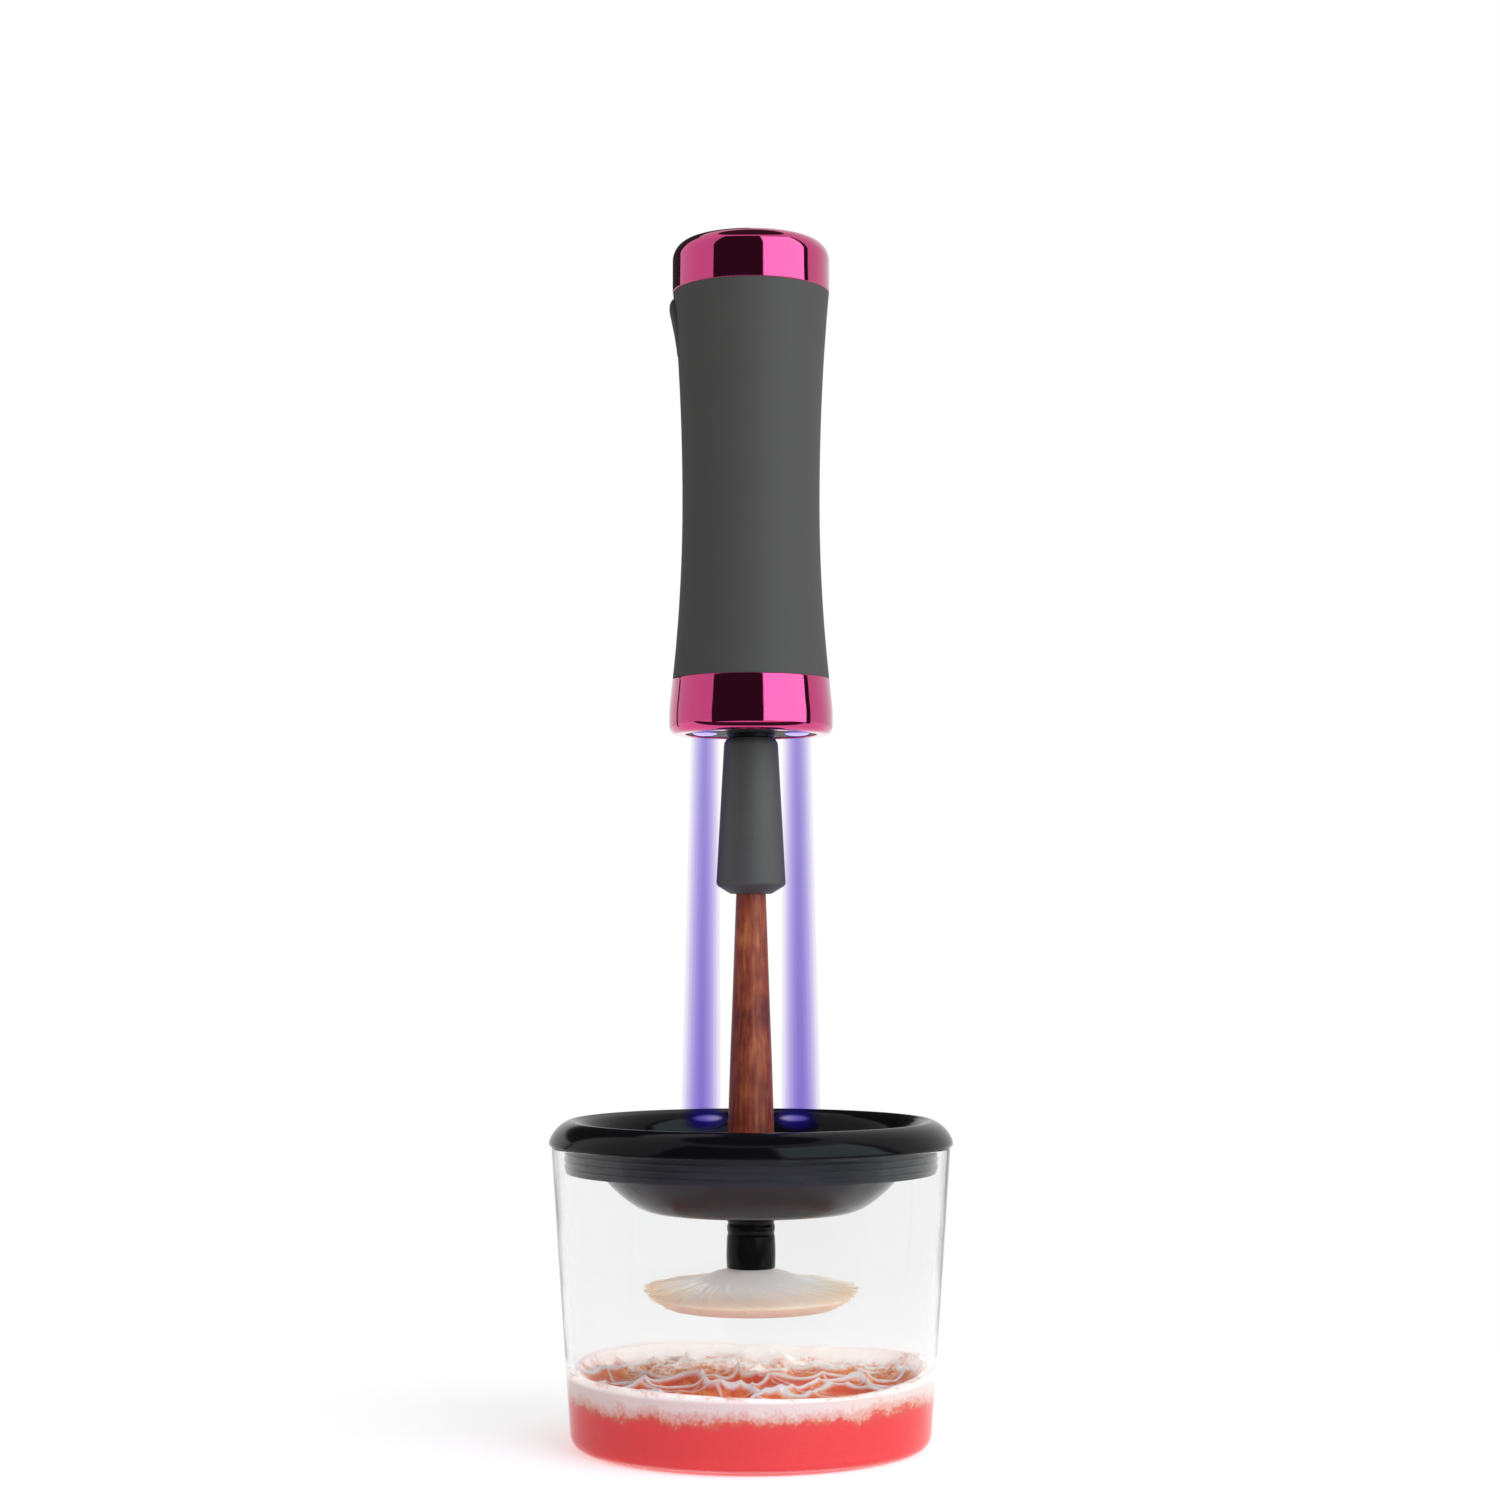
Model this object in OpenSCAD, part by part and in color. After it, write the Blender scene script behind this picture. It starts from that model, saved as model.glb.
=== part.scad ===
// Make-up brush cleaner: a spinning handle, a bowl with a splash guard, and the brush it holds.
// Millimetres, +Z up. The origin is the centre of the bowl's foot, on the table.
// +X is to the right of the user, -Y faces the user, and the power button is on the -X side.

/* [Bowl] */
// Height of the rim above the table
bowl_h = 74; // [70:0.5:78]
// Outside radius of the rim
bowl_rim_r = 49.6; // [49.2:0.1:50]
// Outside radius just above the foot
bowl_base_r = 44.6; // [42:0.1:46]
// Thickness of the wall
bowl_wall = 1.8; // [1.4:0.1:2]
// Thickness of the floor
bowl_floor = 2.4; // [2:0.1:3]

/* [Splash guard] */
// Radius of the hole that the brush goes through
guard_hole_r = 25.5; // [22:0.1:27]
// Outside radius of the flange that lies on the rim
guard_edge_r = 50.2; // [50.1:0.1:51]
// Height of the crest above the rim
guard_crest_h = 6; // [5:0.1:7]
// Outside radius of the skirt inside the bowl
guard_skirt_r = 46.4; // [46:0.1:46.5]
// Depth of the skirt below the rim
guard_skirt_h = 6.6; // [5:0.1:8]

/* [Handle] */
// Height of the handle's nose above the table
nose_z = 176; // [174:0.5:180]
// Height of the metallised bottom ring
ring_h = 14; // [14:0.5:15]
// Length of the outer casing
casing_h = 97.5; // [97:0.5:99]
// Height of the metallised top cap
cap_h = 13.2; // [12.8:0.1:16]
// Outside radius of the casing at both ends
casing_end_r = 19.65; // [19.5:0.05:20]
// Outside radius of the casing at its waist
casing_waist_r = 17.25; // [17.2:0.05:18]
// Height of the waist above the casing's lower end
casing_waist_h = 44; // [40:1:50]
// Radius of the bore that the chassis slides into
casing_bore_r = 15.4; // [15.4:0.05:15.5]
// Largest radius of the bottom ring
ring_r = 20.5; // [20.2:0.1:21]
// Radius of the top cap's wall
cap_r = 19.75; // [19.7:0.05:20]

/* [Collar and spindle] */
// Length of the rubber collar
collar_l = 39; // [38:0.5:42]
// Radius of the collar's lip
collar_lip_r = 8.7; // [8.2:0.1:9]
// Radius of the socket that takes a brush handle
socket_r = 3.9; // [3.85:0.05:4.2]
// Radius of the spindle's stub inside the collar
stub_r = 3.6; // [3:0.1:3.6]
// Length of the stub below the collar's top
stub_l = 16; // [14:0.5:17]

/* [Make-up brush] */
// Height of the bristle tips above the table
tips_z = 33; // [31:0.5:33]
// Radius of the bristles, spread by the spin
bristle_r = 27.4; // [24:0.1:28]
// Depth of the bristles
bristle_h = 10; // [10:0.5:12]
// Largest radius of the ferrule
ferrule_r = 6.15; // [6:0.05:6.3]
// Length of the ferrule
ferrule_l = 23; // [20:0.5:26]
// Length of the bare wood above the ferrule
wood_l = 86; // [84:0.5:88]

/* [Button and charging port] */
// Height of the power button's centre
button_z = 278.6; // [278.4:0.1:278.8]
// Height of the button
button_h = 15; // [14:0.1:15.2]
// Width of the button
button_w = 8.5; // [7:0.1:8.6]
// How far the button stands proud of the casing
button_proud = 1.3; // [0.8:0.05:1.4]
// Height of the charging port's centre
port_z = 270; // [269.8:0.1:270.2]
// Width of the port's flap
flap_w = 9.2; // [8:0.1:9.4]
// Height of the port's flap
flap_h = 13.2; // [12:0.1:13.4]

/* [Motor and battery] */
// Radius of the motor's can
motor_r = 12.2; // [11.8:0.1:12.2]
// Length of the motor's can
motor_can_l = 22; // [20:0.5:22]
// Radius of the battery cell
cell_r = 5.1; // [5:0.05:5.2]
// Length of the battery cell
cell_l = 44; // [42:0.5:44.5]

/* [Hidden] */
$fn = 96;

// Clearances: between parts that move apart, between a shaft and its bush, and of one housing in another
gap = 0.3;
running = 0.04;
fit = 0.1;
// An overshoot for cutting tools, so that no cut ends on a face
over = 1;

// Heights along the handle
casing_z = nose_z + ring_h;
waist_z = casing_z + casing_waist_h;
cap_z = casing_z + casing_h;
top_z = cap_z + cap_h;
plate_z = nose_z + 0.4;
plate_t = 3;
led_board_z = plate_z + plate_t;
led_board_t = 1.2;
chassis_z = led_board_z + led_board_t;
chassis_top = cap_z - 1.5;
mount_z = chassis_z + 15.3;
mount_t = 2;
can_z = mount_z + mount_t;
endbell_z = can_z + motor_can_l;
board_z = endbell_z + 9.1;
cell_z = board_z + 2.3;
collar_top = nose_z - 0.8;
collar_z = collar_top - collar_l;
ferrule_z = tips_z + bristle_h;
ferrule_top = ferrule_z + ferrule_l;
wood_top = ferrule_top + wood_l;
skirt_z = bowl_h - guard_skirt_h;

// Radii and places inside the handle
top_bore_r = 16.4;
low_bore_r = 17.2;
chassis_r = casing_bore_r - fit;
chassis_in = chassis_r - 1.2;
plate_r = 16.4;
boss_bore_r = 5;
journal_r = 2.5;
dog_r = 1.7;
shaft_r = 1;
coupling_z = chassis_z + 10.3;
coupling_l = 4.5;
led_x = 11.5;
nose_screw_y = 12;
motor_screw_x = 8;
chassis_screw_x = -9;
chassis_screw_z = [board_z + 11, board_z + 33];
board_x = 1.3;
board_t = 1.2;
cell_x = board_x + board_t + cell_r + 0.7;
tab_t = 0.4;
lead_r = 0.6;
terminal_y = 7.2;
// The wood's tenon in the ferrule
tenon_r = 4.9;
tenon_l = 10;
// Half the width of the way for the button's flange through the cap's spigot and the chassis
button_way = 5.6;
// Half the height of the stretch of casing that the port's flap lies in
port_reach = 10;
// Half the width of the way for the lights' leads, and how far the button's and flap's prisms reach
lead_way = 2.4;
prism_in = 12;
prism_out = 30;

// Points of an arc: centre, radius, first and last angle, number of steps
function arc(cx, cy, r, a0, a1, n = 8) =
    [for (i = [0:n]) let (a = a0 + (a1 - a0) * i / n) [cx + r * cos(a), cy + r * sin(a)]];

// Points of a quarter of an ellipse from its side to its top
function dome(cx, cy, a, b, n = 8) =
    [for (i = [0:n]) [cx + a * cos(90 * i / n), cy + b * sin(90 * i / n)]];

// Outside radius of the hourglass casing at a height
function casing_r(z) =
    let (reach = z < waist_z ? casing_waist_h : casing_h - casing_waist_h)
    casing_waist_r + (casing_end_r - casing_waist_r) * pow((z - waist_z) / reach, 2);

// Points of the casing's outside between two heights
function casing_line(z0, z1, lift = 0, n = 16) =
    [for (i = [0:n]) let (z = z0 + (z1 - z0) * i / n) [casing_r(z) + lift, z]];

// Points of a cubic curve that leaves p0 towards p1 and arrives at p3 from p2
function bezier(p0, p1, p2, p3, n = 8) =
    [for (i = [0:n]) let (t = i / n, s = 1 - t)
        s * s * s * p0 + 3 * s * s * t * p1 + 3 * s * t * t * p2 + t * t * t * p3];

module disc(r, z0, z1) {
    translate([0, 0, z0]) cylinder(r = r, h = z1 - z0);
}

module tube(r_out, r_in, z0, z1) {
    difference() {
        disc(r_out, z0, z1);
        disc(r_in, z0 - over, z1 + over);
    }
}

module block(x, y, z) {
    translate([x[0], y[0], z[0]]) cube([x[1] - x[0], y[1] - y[0], z[1] - z[0]]);
}

module revolve(points) {
    rotate_extrude() polygon(points);
}

// A rod along X or along Y
module rod_x(r, x0, x1, y, z) {
    translate([x0, y, z]) rotate([0, 90, 0]) cylinder(r = r, h = x1 - x0);
}

module rod_y(r, y0, y1, x, z) {
    translate([x, y1, z]) rotate([90, 0, 0]) cylinder(r = r, h = y1 - y0);
}

// A flat slot with round ends, its length along the first axis
module stadium(length, width) {
    run = (length - width) / 2;
    square([2 * run, width], center = true);
    for (side = [-1, 1]) translate([side * run, 0]) circle(d = width);
}

// The button's outline as a prism that leaves the casing on the -X side
module button_prism(grow = 0) {
    translate([-prism_out, 0, button_z]) rotate([0, 90, 0])
        linear_extrude(prism_out - prism_in) stadium(button_h + 2 * grow, button_w + 2 * grow);
}

// The flap's outline as a prism that leaves the casing on the +Y side
module flap_prism(grow = 0) {
    w = flap_w + 2 * grow;
    h = flap_h + 2 * grow;
    translate([-w / 2, prism_in, port_z - h / 2]) cube([w, prism_out - prism_in, h]);
}

// Everything between the handle's axis and the casing's outside, moved out by lift
module casing_core(z0, z1, lift) {
    revolve(concat([[0, z0]], casing_line(z0, z1, lift), [[0, z1]]));
}

// An eight-sided tube along points that all have the same y
module lead(points) {
    last = len(points) - 1;
    sides = 8;
    rings = [for (i = [0:last])
        let (d = points[min(i + 1, last)] - points[max(i - 1, 0)])
        let (t = d / norm(d), up = cross(t, [0, 1, 0]))
        for (k = [0:sides - 1])
            points[i] + lead_r * (cos(360 * k / sides) * up + sin(360 * k / sides) * [0, 1, 0])];
    walls = [for (i = [0:last - 1]) for (k = [0:sides - 1])
        let (a = i * sides + k, b = i * sides + (k + 1) % sides)
        [a, b, b + sides, a + sides]];
    start = [for (k = [sides - 1:-1:0]) k];
    end = [for (k = [0:sides - 1]) last * sides + k];
    polyhedron(rings, concat(walls, [start, end]));
}

// A cross-head screw whose shank points up, its head's underside at z = 0
module screw(shank_r, shank_l, head_r, head_h) {
    cross_w = 0.5;
    cross_l = head_r * 1.3;
    cross_depth = 0.6;
    cylinder(r = shank_r, h = shank_l);
    difference() {
        translate([0, 0, -head_h]) cylinder(r = head_r, h = head_h);
        for (turn = [0, 90]) rotate([0, 0, turn])
            translate([-cross_l / 2, -cross_w / 2, -head_h - over])
                cube([cross_l, cross_w, over + cross_depth]);
    }
}

// Bowl and splash guard

module bowl() {
    corner = 3;
    foot_h = 0.8;
    foot_r = 37;
    lip = 0.6;
    inner_base = bowl_base_r - bowl_wall;
    inner_rim = bowl_rim_r - bowl_wall;
    color([0.9, 0.93, 0.95, 0.4]) revolve(concat(
        [[0, foot_h], [foot_r - foot_h, foot_h], [foot_r, 0]],
        arc(bowl_base_r - corner, corner, corner, -90, 0),
        [[bowl_rim_r, bowl_h - lip], [bowl_rim_r - lip, bowl_h]],
        [[inner_rim + lip, bowl_h], [inner_rim, bowl_h - lip]],
        arc(inner_base - corner, bowl_floor + corner, corner, 0, -90),
        [[0, bowl_floor]]
    ));
}

module splash_guard() {
    skirt_in = guard_skirt_r - 1.8;
    crest_z = bowl_h + guard_crest_h;
    crest_r = 44.9;
    dish_c = [guard_hole_r - 13.6, crest_z + 5.9];
    dish_r = 32.2;
    wall = 2;
    edge_h = 0.8;
    brow_c = [42.56, bowl_h - 1.57];
    brow_r = 8;
    crest_round = 1.4;
    throat_round = 0.9;
    throat_z = crest_z - 21.6;
    ribs = 3;
    rib_pitch = 1.7;
    rib_h = 0.5;
    rib_out = 0.25;
    color("#141416") union() {
        revolve(concat(
            [[skirt_in, skirt_z], [guard_skirt_r, skirt_z], [guard_skirt_r, bowl_h]],
            [[guard_edge_r, bowl_h], [guard_edge_r, bowl_h + edge_h]],
            arc(brow_c[0], brow_c[1], brow_r, 22, 69.2, 6),
            arc(crest_r, crest_z - crest_round, crest_round, 74, 120, 4),
            [[42.4, crest_z - 1]],
            arc(dish_c[0], dish_c[1], dish_r - wall, -17, -62.5, 12),
            arc(guard_hole_r + throat_round, throat_z, throat_round, 160, 290, 5),
            arc(dish_c[0], dish_c[1], dish_r, -59, -24, 12),
            [[skirt_in - 0.3, bowl_h - 2], [skirt_in, bowl_h - 2.6]]
        ));
        for (i = [0:ribs - 1])
            translate([0, 0, skirt_z + 1.2 + i * rib_pitch])
                tube(guard_skirt_r + rib_out, guard_skirt_r - 0.5, 0, rib_h);
    }
}

// Handle: skin

module outer_casing() {
    low_bore_h = 9;
    top_bore_h = 25.5;
    pocket_depth = 0.85;
    port_hole = [3.3, 5.6];
    color("#4e4e4c") difference() {
        revolve(concat([[0, casing_z]], casing_line(casing_z, cap_z, 0, 24), [[0, cap_z]]));
        disc(casing_bore_r, casing_z - over, cap_z + over);
        disc(low_bore_r, casing_z - over, casing_z + low_bore_h);
        disc(top_bore_r, cap_z - top_bore_h, cap_z + over);
        button_prism(gap);
        // Pocket for the flap, and the port's hole through the wall
        difference() {
            flap_prism(gap);
            casing_core(port_z - port_reach, port_z + port_reach, -pocket_depth);
        }
        block([-port_hole[0], port_hole[0]], [prism_in, prism_out],
            [port_z - port_hole[1], port_z + port_hole[1]]);
    }
}

module top_cap() {
    wall = 2;
    spigot_in = casing_bore_r;
    spigot_out = top_bore_r - fit;
    spigot_z = cap_z - 5;
    corner = [4.6, 4.8];
    rise = 0.3;
    skin_z = cap_z + 7;
    color("#c8357a") difference() {
        revolve(concat(
            [[spigot_in, spigot_z], [spigot_out, spigot_z], [spigot_out, cap_z], [cap_r, cap_z]],
            dome(cap_r - corner[0], top_z - rise - corner[1], corner[0], corner[1]),
            [[0, top_z], [0, top_z - wall - rise]],
            [[cap_r - corner[0] - wall, top_z - wall - rise]],
            [[cap_r - wall, skin_z], [cap_r - wall, cap_z + wall], [spigot_in, cap_z + wall]]
        ));
        // Notch that leaves room for the button
        block([-prism_out, -prism_in], [-button_way, button_way], [spigot_z - over, cap_z]);
    }
}

module bottom_ring() {
    shelf_z = plate_z + plate_t;
    shelf_in = chassis_r + 2 * fit;
    spigot_out = low_bore_r - fit;
    spigot_top = casing_z + 8;
    round_r = 3.4;
    widest_z = nose_z + 6;
    shoulder = [ring_r - 0.4, nose_z + 10];
    color("#c8357a") revolve(concat(
        [[plate_r + fit, shelf_z], [plate_r + fit, nose_z], [ring_r - round_r, nose_z]],
        arc(ring_r - round_r, nose_z + round_r, round_r, -90, 0),
        [[ring_r, widest_z], shoulder, [casing_end_r, casing_z]],
        [[spigot_out, casing_z], [spigot_out, spigot_top], [shelf_in, spigot_top]],
        [[shelf_in, shelf_z]]
    ));
}

module nose_plate() {
    boss_r = 7.4;
    boss_top = coupling_z - 1.4;
    neck_r = 6.2;
    lens_r = 3.05;
    screw_r = 1.2;
    screw_head = [2.3, 1.3];
    color("#2c2c2c") difference() {
        union() {
            disc(plate_r, plate_z, led_board_z);
            disc(boss_r, plate_z, boss_top);
        }
        disc(neck_r, plate_z - over, led_board_z);
        disc(journal_r + 0.5, plate_z, coupling_z);
        disc(boss_bore_r, chassis_z, coupling_z);
        for (side = [-1, 1]) {
            translate([side * led_x, 0, plate_z - over]) cylinder(r = lens_r, h = plate_t + 2 * over);
            translate([0, side * nose_screw_y, plate_z - over]) {
                cylinder(r = screw_r, h = plate_t + 2 * over);
                cylinder(r = screw_head[0], h = over + screw_head[1]);
            }
        }
    }
}

// Handle: chassis and fasteners

module chassis() {
    rib_in = 12.9;
    boss_r = 2.2;
    nose_boss = [2.4, 9];
    pilot_r = 1;
    clear_r = 1.1;
    head_r = 2.1;
    head_y = 8;
    window_z = button_z - 9;
    port_window = [3.6, 5.6];
    difference() {
        union() {
            tube(chassis_r, chassis_in, chassis_z, chassis_top);
            // Ribs that hold the motor's mount, and the shelf under the circuit board
            tube(chassis_in + fit, rib_in, mount_z - 1.4, mount_z - fit);
            tube(chassis_in + fit, rib_in, can_z + 0.2, can_z + 1.5);
            tube(chassis_in + fit, rib_in, board_z - 2.3, board_z - 0.3);
            intersection() {
                disc(chassis_in + fit, chassis_z, chassis_top);
                union() {
                    for (z = chassis_screw_z) rod_y(boss_r, -15, 15, chassis_screw_x, z);
                    for (side = [-1, 1])
                        translate([0, side * nose_screw_y, chassis_z])
                            cylinder(r = nose_boss[0], h = nose_boss[1]);
                }
            }
        }
        for (z = chassis_screw_z) {
            rod_y(pilot_r, -7, over, chassis_screw_x, z);
            rod_y(clear_r, 0, chassis_r + over, chassis_screw_x, z);
            rod_y(head_r, head_y, chassis_r + over, chassis_screw_x, z);
        }
        for (side = [-1, 1])
            translate([0, side * nose_screw_y, chassis_z - over]) cylinder(r = pilot_r, h = 8);
        // Way for the lights' leads, and windows for the button and the charging socket
        block([-14, -11], [-lead_way, lead_way], [mount_z - 2, board_z]);
        block([-prism_out, -prism_in], [-button_way, button_way], [window_z, chassis_top + over]);
        block([-port_window[0], port_window[0]], [11, prism_out],
            [port_z - port_window[1], port_z + port_window[1]]);
    }
}

module chassis_front() {
    color("#d8d8d4") intersection() {
        chassis();
        block([-prism_out, prism_out], [-prism_out, 0], [chassis_z - over, chassis_top + over]);
    }
}

module chassis_rear() {
    color("#d8d8d4") intersection() {
        chassis();
        block([-prism_out, prism_out], [0, prism_out], [chassis_z - over, chassis_top + over]);
    }
}

module chassis_screws() {
    color("silver") for (z = chassis_screw_z)
        translate([chassis_screw_x, 8, z]) rotate([90, 0, 0]) screw(1, 14, 2, 1.6);
}

module nose_screws() {
    color("silver") for (side = [-1, 1])
        translate([0, side * nose_screw_y, plate_z + 1.3]) screw(1, 9, 2.1, 1.2);
}

// Handle: motor

module motor_mount() {
    boss_bore = 3.1;
    color("#b8bcc0") difference() {
        disc(chassis_in - fit, mount_z, can_z);
        disc(boss_bore, mount_z - over, can_z + over);
        for (side = [-1, 1])
            translate([side * motor_screw_x, 0, mount_z - over]) cylinder(r = 1.1, h = mount_t + 2 * over);
        block([-prism_out, -prism_in], [-lead_way, lead_way], [mount_z - over, can_z + over]);
    }
}

module motor_screws() {
    color("silver") for (side = [-1, 1])
        translate([side * motor_screw_x, 0, mount_z]) screw(1, mount_t + 1.4, 1.9, 1.3);
}

module motor_can() {
    wall = 0.9;
    boss_r = 3;
    color("#c9ccd0") difference() {
        union() {
            disc(motor_r, can_z, endbell_z);
            disc(boss_r, mount_z + 0.4, can_z + wall);
        }
        disc(motor_r - wall, can_z + wall, endbell_z + over);
        disc(shaft_r + running, mount_z - over, endbell_z);
        for (side = [-1, 1])
            translate([side * motor_screw_x, 0, can_z - over]) cylinder(r = 1, h = wall + 2 * over);
    }
}

module motor_magnets() {
    inner_r = 9.2;
    low = can_z + 3;
    high = can_z + 17;
    half_split = 4.6;
    color("#3a3a3c") difference() {
        tube(motor_r - 0.9, inner_r, low, high);
        block([-motor_r, motor_r], [-half_split, half_split], [can_z, endbell_z]);
    }
}

module motor_endbell() {
    plate_h = 2.7;
    boss_r = 4;
    boss_h = 4.4;
    color("#f0efe8") difference() {
        union() {
            disc(motor_r, endbell_z, endbell_z + plate_h);
            disc(boss_r, endbell_z, endbell_z + boss_h);
        }
        disc(shaft_r + running, endbell_z - over, endbell_z + 4);
    }
}

module motor_terminals() {
    half_t = 0.25;
    half_w = 1.2;
    color("#c8a04a") for (side = [-1, 1])
        block([-half_w, half_w], [side * terminal_y - half_t, side * terminal_y + half_t],
            [endbell_z + 2.7, endbell_z + 6]);
}

module motor_armature() {
    poles = 3;
    core_z = can_z + 4;
    core_l = 12;
    core_r = 8.6;
    slot_floor = 5;
    half_slot = 1.2;
    commutator_r = 3;
    color("#b5703a") difference() {
        union() {
            difference() {
                disc(core_r, core_z, core_z + core_l);
                for (i = [0:poles - 1]) rotate([0, 0, 60 + i * 360 / poles])
                    block([slot_floor, core_r + over], [-half_slot, half_slot],
                        [core_z - over, core_z + core_l + over]);
            }
            disc(commutator_r, core_z + core_l, endbell_z - 0.6);
        }
        disc(shaft_r, core_z - over, endbell_z);
    }
}

module motor_shaft() {
    color("#d5d8dc") disc(shaft_r, coupling_z + 2.5, endbell_z + 3.6);
}

// Handle: drive

module spindle_bearing() {
    low = coupling_z - 6.7;
    high = coupling_z - 1.4;
    color("#b08d57") tube(boss_bore_r, journal_r + running, low, high);
}

module shaft_seal() {
    seal_h = 2.8;
    groove = [4.2, 3.3];
    color("#202020") difference() {
        tube(boss_bore_r, journal_r + running, chassis_z, chassis_z + seal_h);
        tube(groove[0], groove[1], chassis_z + seal_h / 2, chassis_z + seal_h + over);
    }
}

module spindle() {
    neck_r = 5.9;
    slot = [4, 0.6, 1.2];
    color("#1c1c1e") union() {
        difference() {
            disc(stub_r, collar_top - stub_l, collar_top);
            // A coin slot in the end, for driving the spindle home
            block([-slot[0], slot[0]], [-slot[1], slot[1]],
                [collar_top - stub_l - over, collar_top - stub_l + slot[2]]);
        }
        disc(neck_r, collar_top + 0.2, plate_z + 2);
        disc(stub_r, collar_top - over, collar_top + 0.5);
        disc(journal_r, plate_z + 1, coupling_z - 0.3);
        disc(dog_r, coupling_z - 0.5, coupling_z + 2.3);
    }
}

module drive_coupling() {
    color("#e4e2d8") difference() {
        disc(4.2, coupling_z, coupling_z + coupling_l);
        disc(dog_r, coupling_z - over, coupling_z + 2.3);
        disc(shaft_r, coupling_z, coupling_z + coupling_l + over);
        // Set-screw hole
        rod_x(0.8, 1.5, 5, 0, coupling_z + 3.4);
    }
}

// Handle: electrics

module battery_cell() {
    color("#2f6f8f") translate([cell_x, 0, cell_z]) {
        cylinder(r = cell_r, h = cell_l);
        cylinder(r = 1.8, h = cell_l + 0.8);
    }
}

module battery_tabs() {
    heights = [cell_z - tab_t, cell_z + cell_l + 0.8];
    color("#cfd2d4") for (z = heights)
        block([board_x + board_t, cell_x + 2], [-2, 2], [z, z + tab_t]);
}

module circuit_board() {
    color("#1f6b3a") block([board_x, board_x + board_t], [-12.8, 13], [board_z, cap_z - 3]);
}

module board_components() {
    color("#222222") {
        block([board_x - 1, board_x], [-3, 2], [board_z + 18, board_z + 23]);
        block([board_x - 1.2, board_x], [-10, -6], [board_z + 19, board_z + 24]);
        block([board_x - 2.4, board_x], [5, 10], [board_z + 14, board_z + 19]);
        for (i = [0:4]) block([board_x - 0.6, board_x], [-9 + i * 3, -8 + i * 3], [board_z + 27, board_z + 29]);
        for (y = [-9, -3]) rod_x(1.6, board_x - 3.5, board_x, y, board_z + 35);
    }
}

module tact_switch() {
    color("#303030") difference() {
        block([board_x - 3.5, board_x], [-3, 3], [button_z - 3, button_z + 3]);
        rod_x(1.8, board_x - 5, board_x - 1.9, 0, button_z);
    }
}

module switch_plunger() {
    color("#e8e8e4") rod_x(1.75, board_x - 9.5, board_x - 2.7, 0, button_z);
}

module usb_socket() {
    back = 8.6;
    mouth = 14.2;
    color("#c4c8cc") union() {
        difference() {
            block([board_x - 2.6, board_x], [back, mouth], [port_z - 3.75, port_z + 3.75]);
            block([board_x - 2.3, board_x - 0.3], [back + 0.6, mouth + over], [port_z - 3.4, port_z + 3.4]);
        }
        block([board_x - 1.5, board_x - 0.9], [back + 0.3, mouth - 0.8], [port_z - 1.9, port_z + 1.9]);
    }
}

module led_board() {
    color("#1f6b3a") difference() {
        tube(15, 7.7, led_board_z, chassis_z);
        for (side = [-1, 1])
            translate([0, side * nose_screw_y, led_board_z - over])
                cylinder(r = 1.3, h = led_board_t + 2 * over);
    }
}

module led_emitters() {
    half = 1.5;
    color("#e9e4c0") for (side = [-1, 1])
        block([side * led_x - half, side * led_x + half], [-half, half], [led_board_z - 1.2, led_board_z]);
}

module led_lenses() {
    lens_r = 3;
    color("#8f80d0") for (side = [-1, 1])
        translate([side * led_x, 0, 0]) revolve(concat(
            [[0, plate_z + 1.4]],
            [[lens_r, plate_z + 1.4], [lens_r, plate_z]],
            [for (i = [1:6]) [lens_r * cos(15 * i), plate_z - 0.6 * sin(15 * i)]]
        ));
}

module motor_leads() {
    terminal_z = endbell_z + 6;
    color("#b02020") for (side = [-1, 1]) {
        y = side * terminal_y;
        lead(bezier([0, y, terminal_z], [0, y, terminal_z + 4],
            [-4, y, board_z + 3], [board_x, y, board_z + 3], 10));
    }
}

module led_leads() {
    x = -13;
    color("#f0f0f0") for (y = [-1, 1])
        lead(concat(
            [[x, y, chassis_z], [x, y, can_z], [x, y, endbell_z]],
            bezier([x, y, endbell_z + 2], [x, y, endbell_z + 12],
                [-6, y, board_z + 4], [board_x, y, board_z + 4], 10)
        ));
}

// Button and flap

module power_button() {
    flange_x = -15.4;
    flange_t = 1;
    flange = [4.9, 8.3];
    foot = button_z - 7.6;
    middle = button_z - 2;
    face = button_z + 4.6;
    head = button_z + 7.6;
    low = button_z - 10;
    high = button_z + 10;
    color("#454543") union() {
        // The face is a wedge: low at the foot, proudest near the top
        intersection() {
            button_prism();
            revolve([
                [prism_in, low], [casing_r(foot) + 0.1, foot], [casing_r(middle) + 0.5, middle],
                [casing_r(face) + button_proud, face], [casing_r(head) + 0.35, head], [prism_in, high]
            ]);
            block([-prism_out, flange_x + fit], [-button_w, button_w], [low, high]);
        }
        block([flange_x, flange_x + flange_t], [-flange[0], flange[0]],
            [button_z - flange[1], button_z + flange[1]]);
        rod_x(1.6, flange_x, board_x - 9.5, 0, button_z);
    }
}

module port_cover() {
    proud = 0.15;
    depth = 0.75;
    plug = [2.9, 4.9];
    plug_end = 14.9;
    color("#3c3c3a") union() {
        difference() {
            intersection() {
                flap_prism();
                casing_core(port_z - port_reach, port_z + port_reach, proud);
            }
            casing_core(port_z - port_reach, port_z + port_reach, -depth);
        }
        block([-plug[0], plug[0]], [plug_end, casing_r(port_z) - 0.5], [port_z - plug[1], port_z + plug[1]]);
    }
}

// Collar

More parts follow.
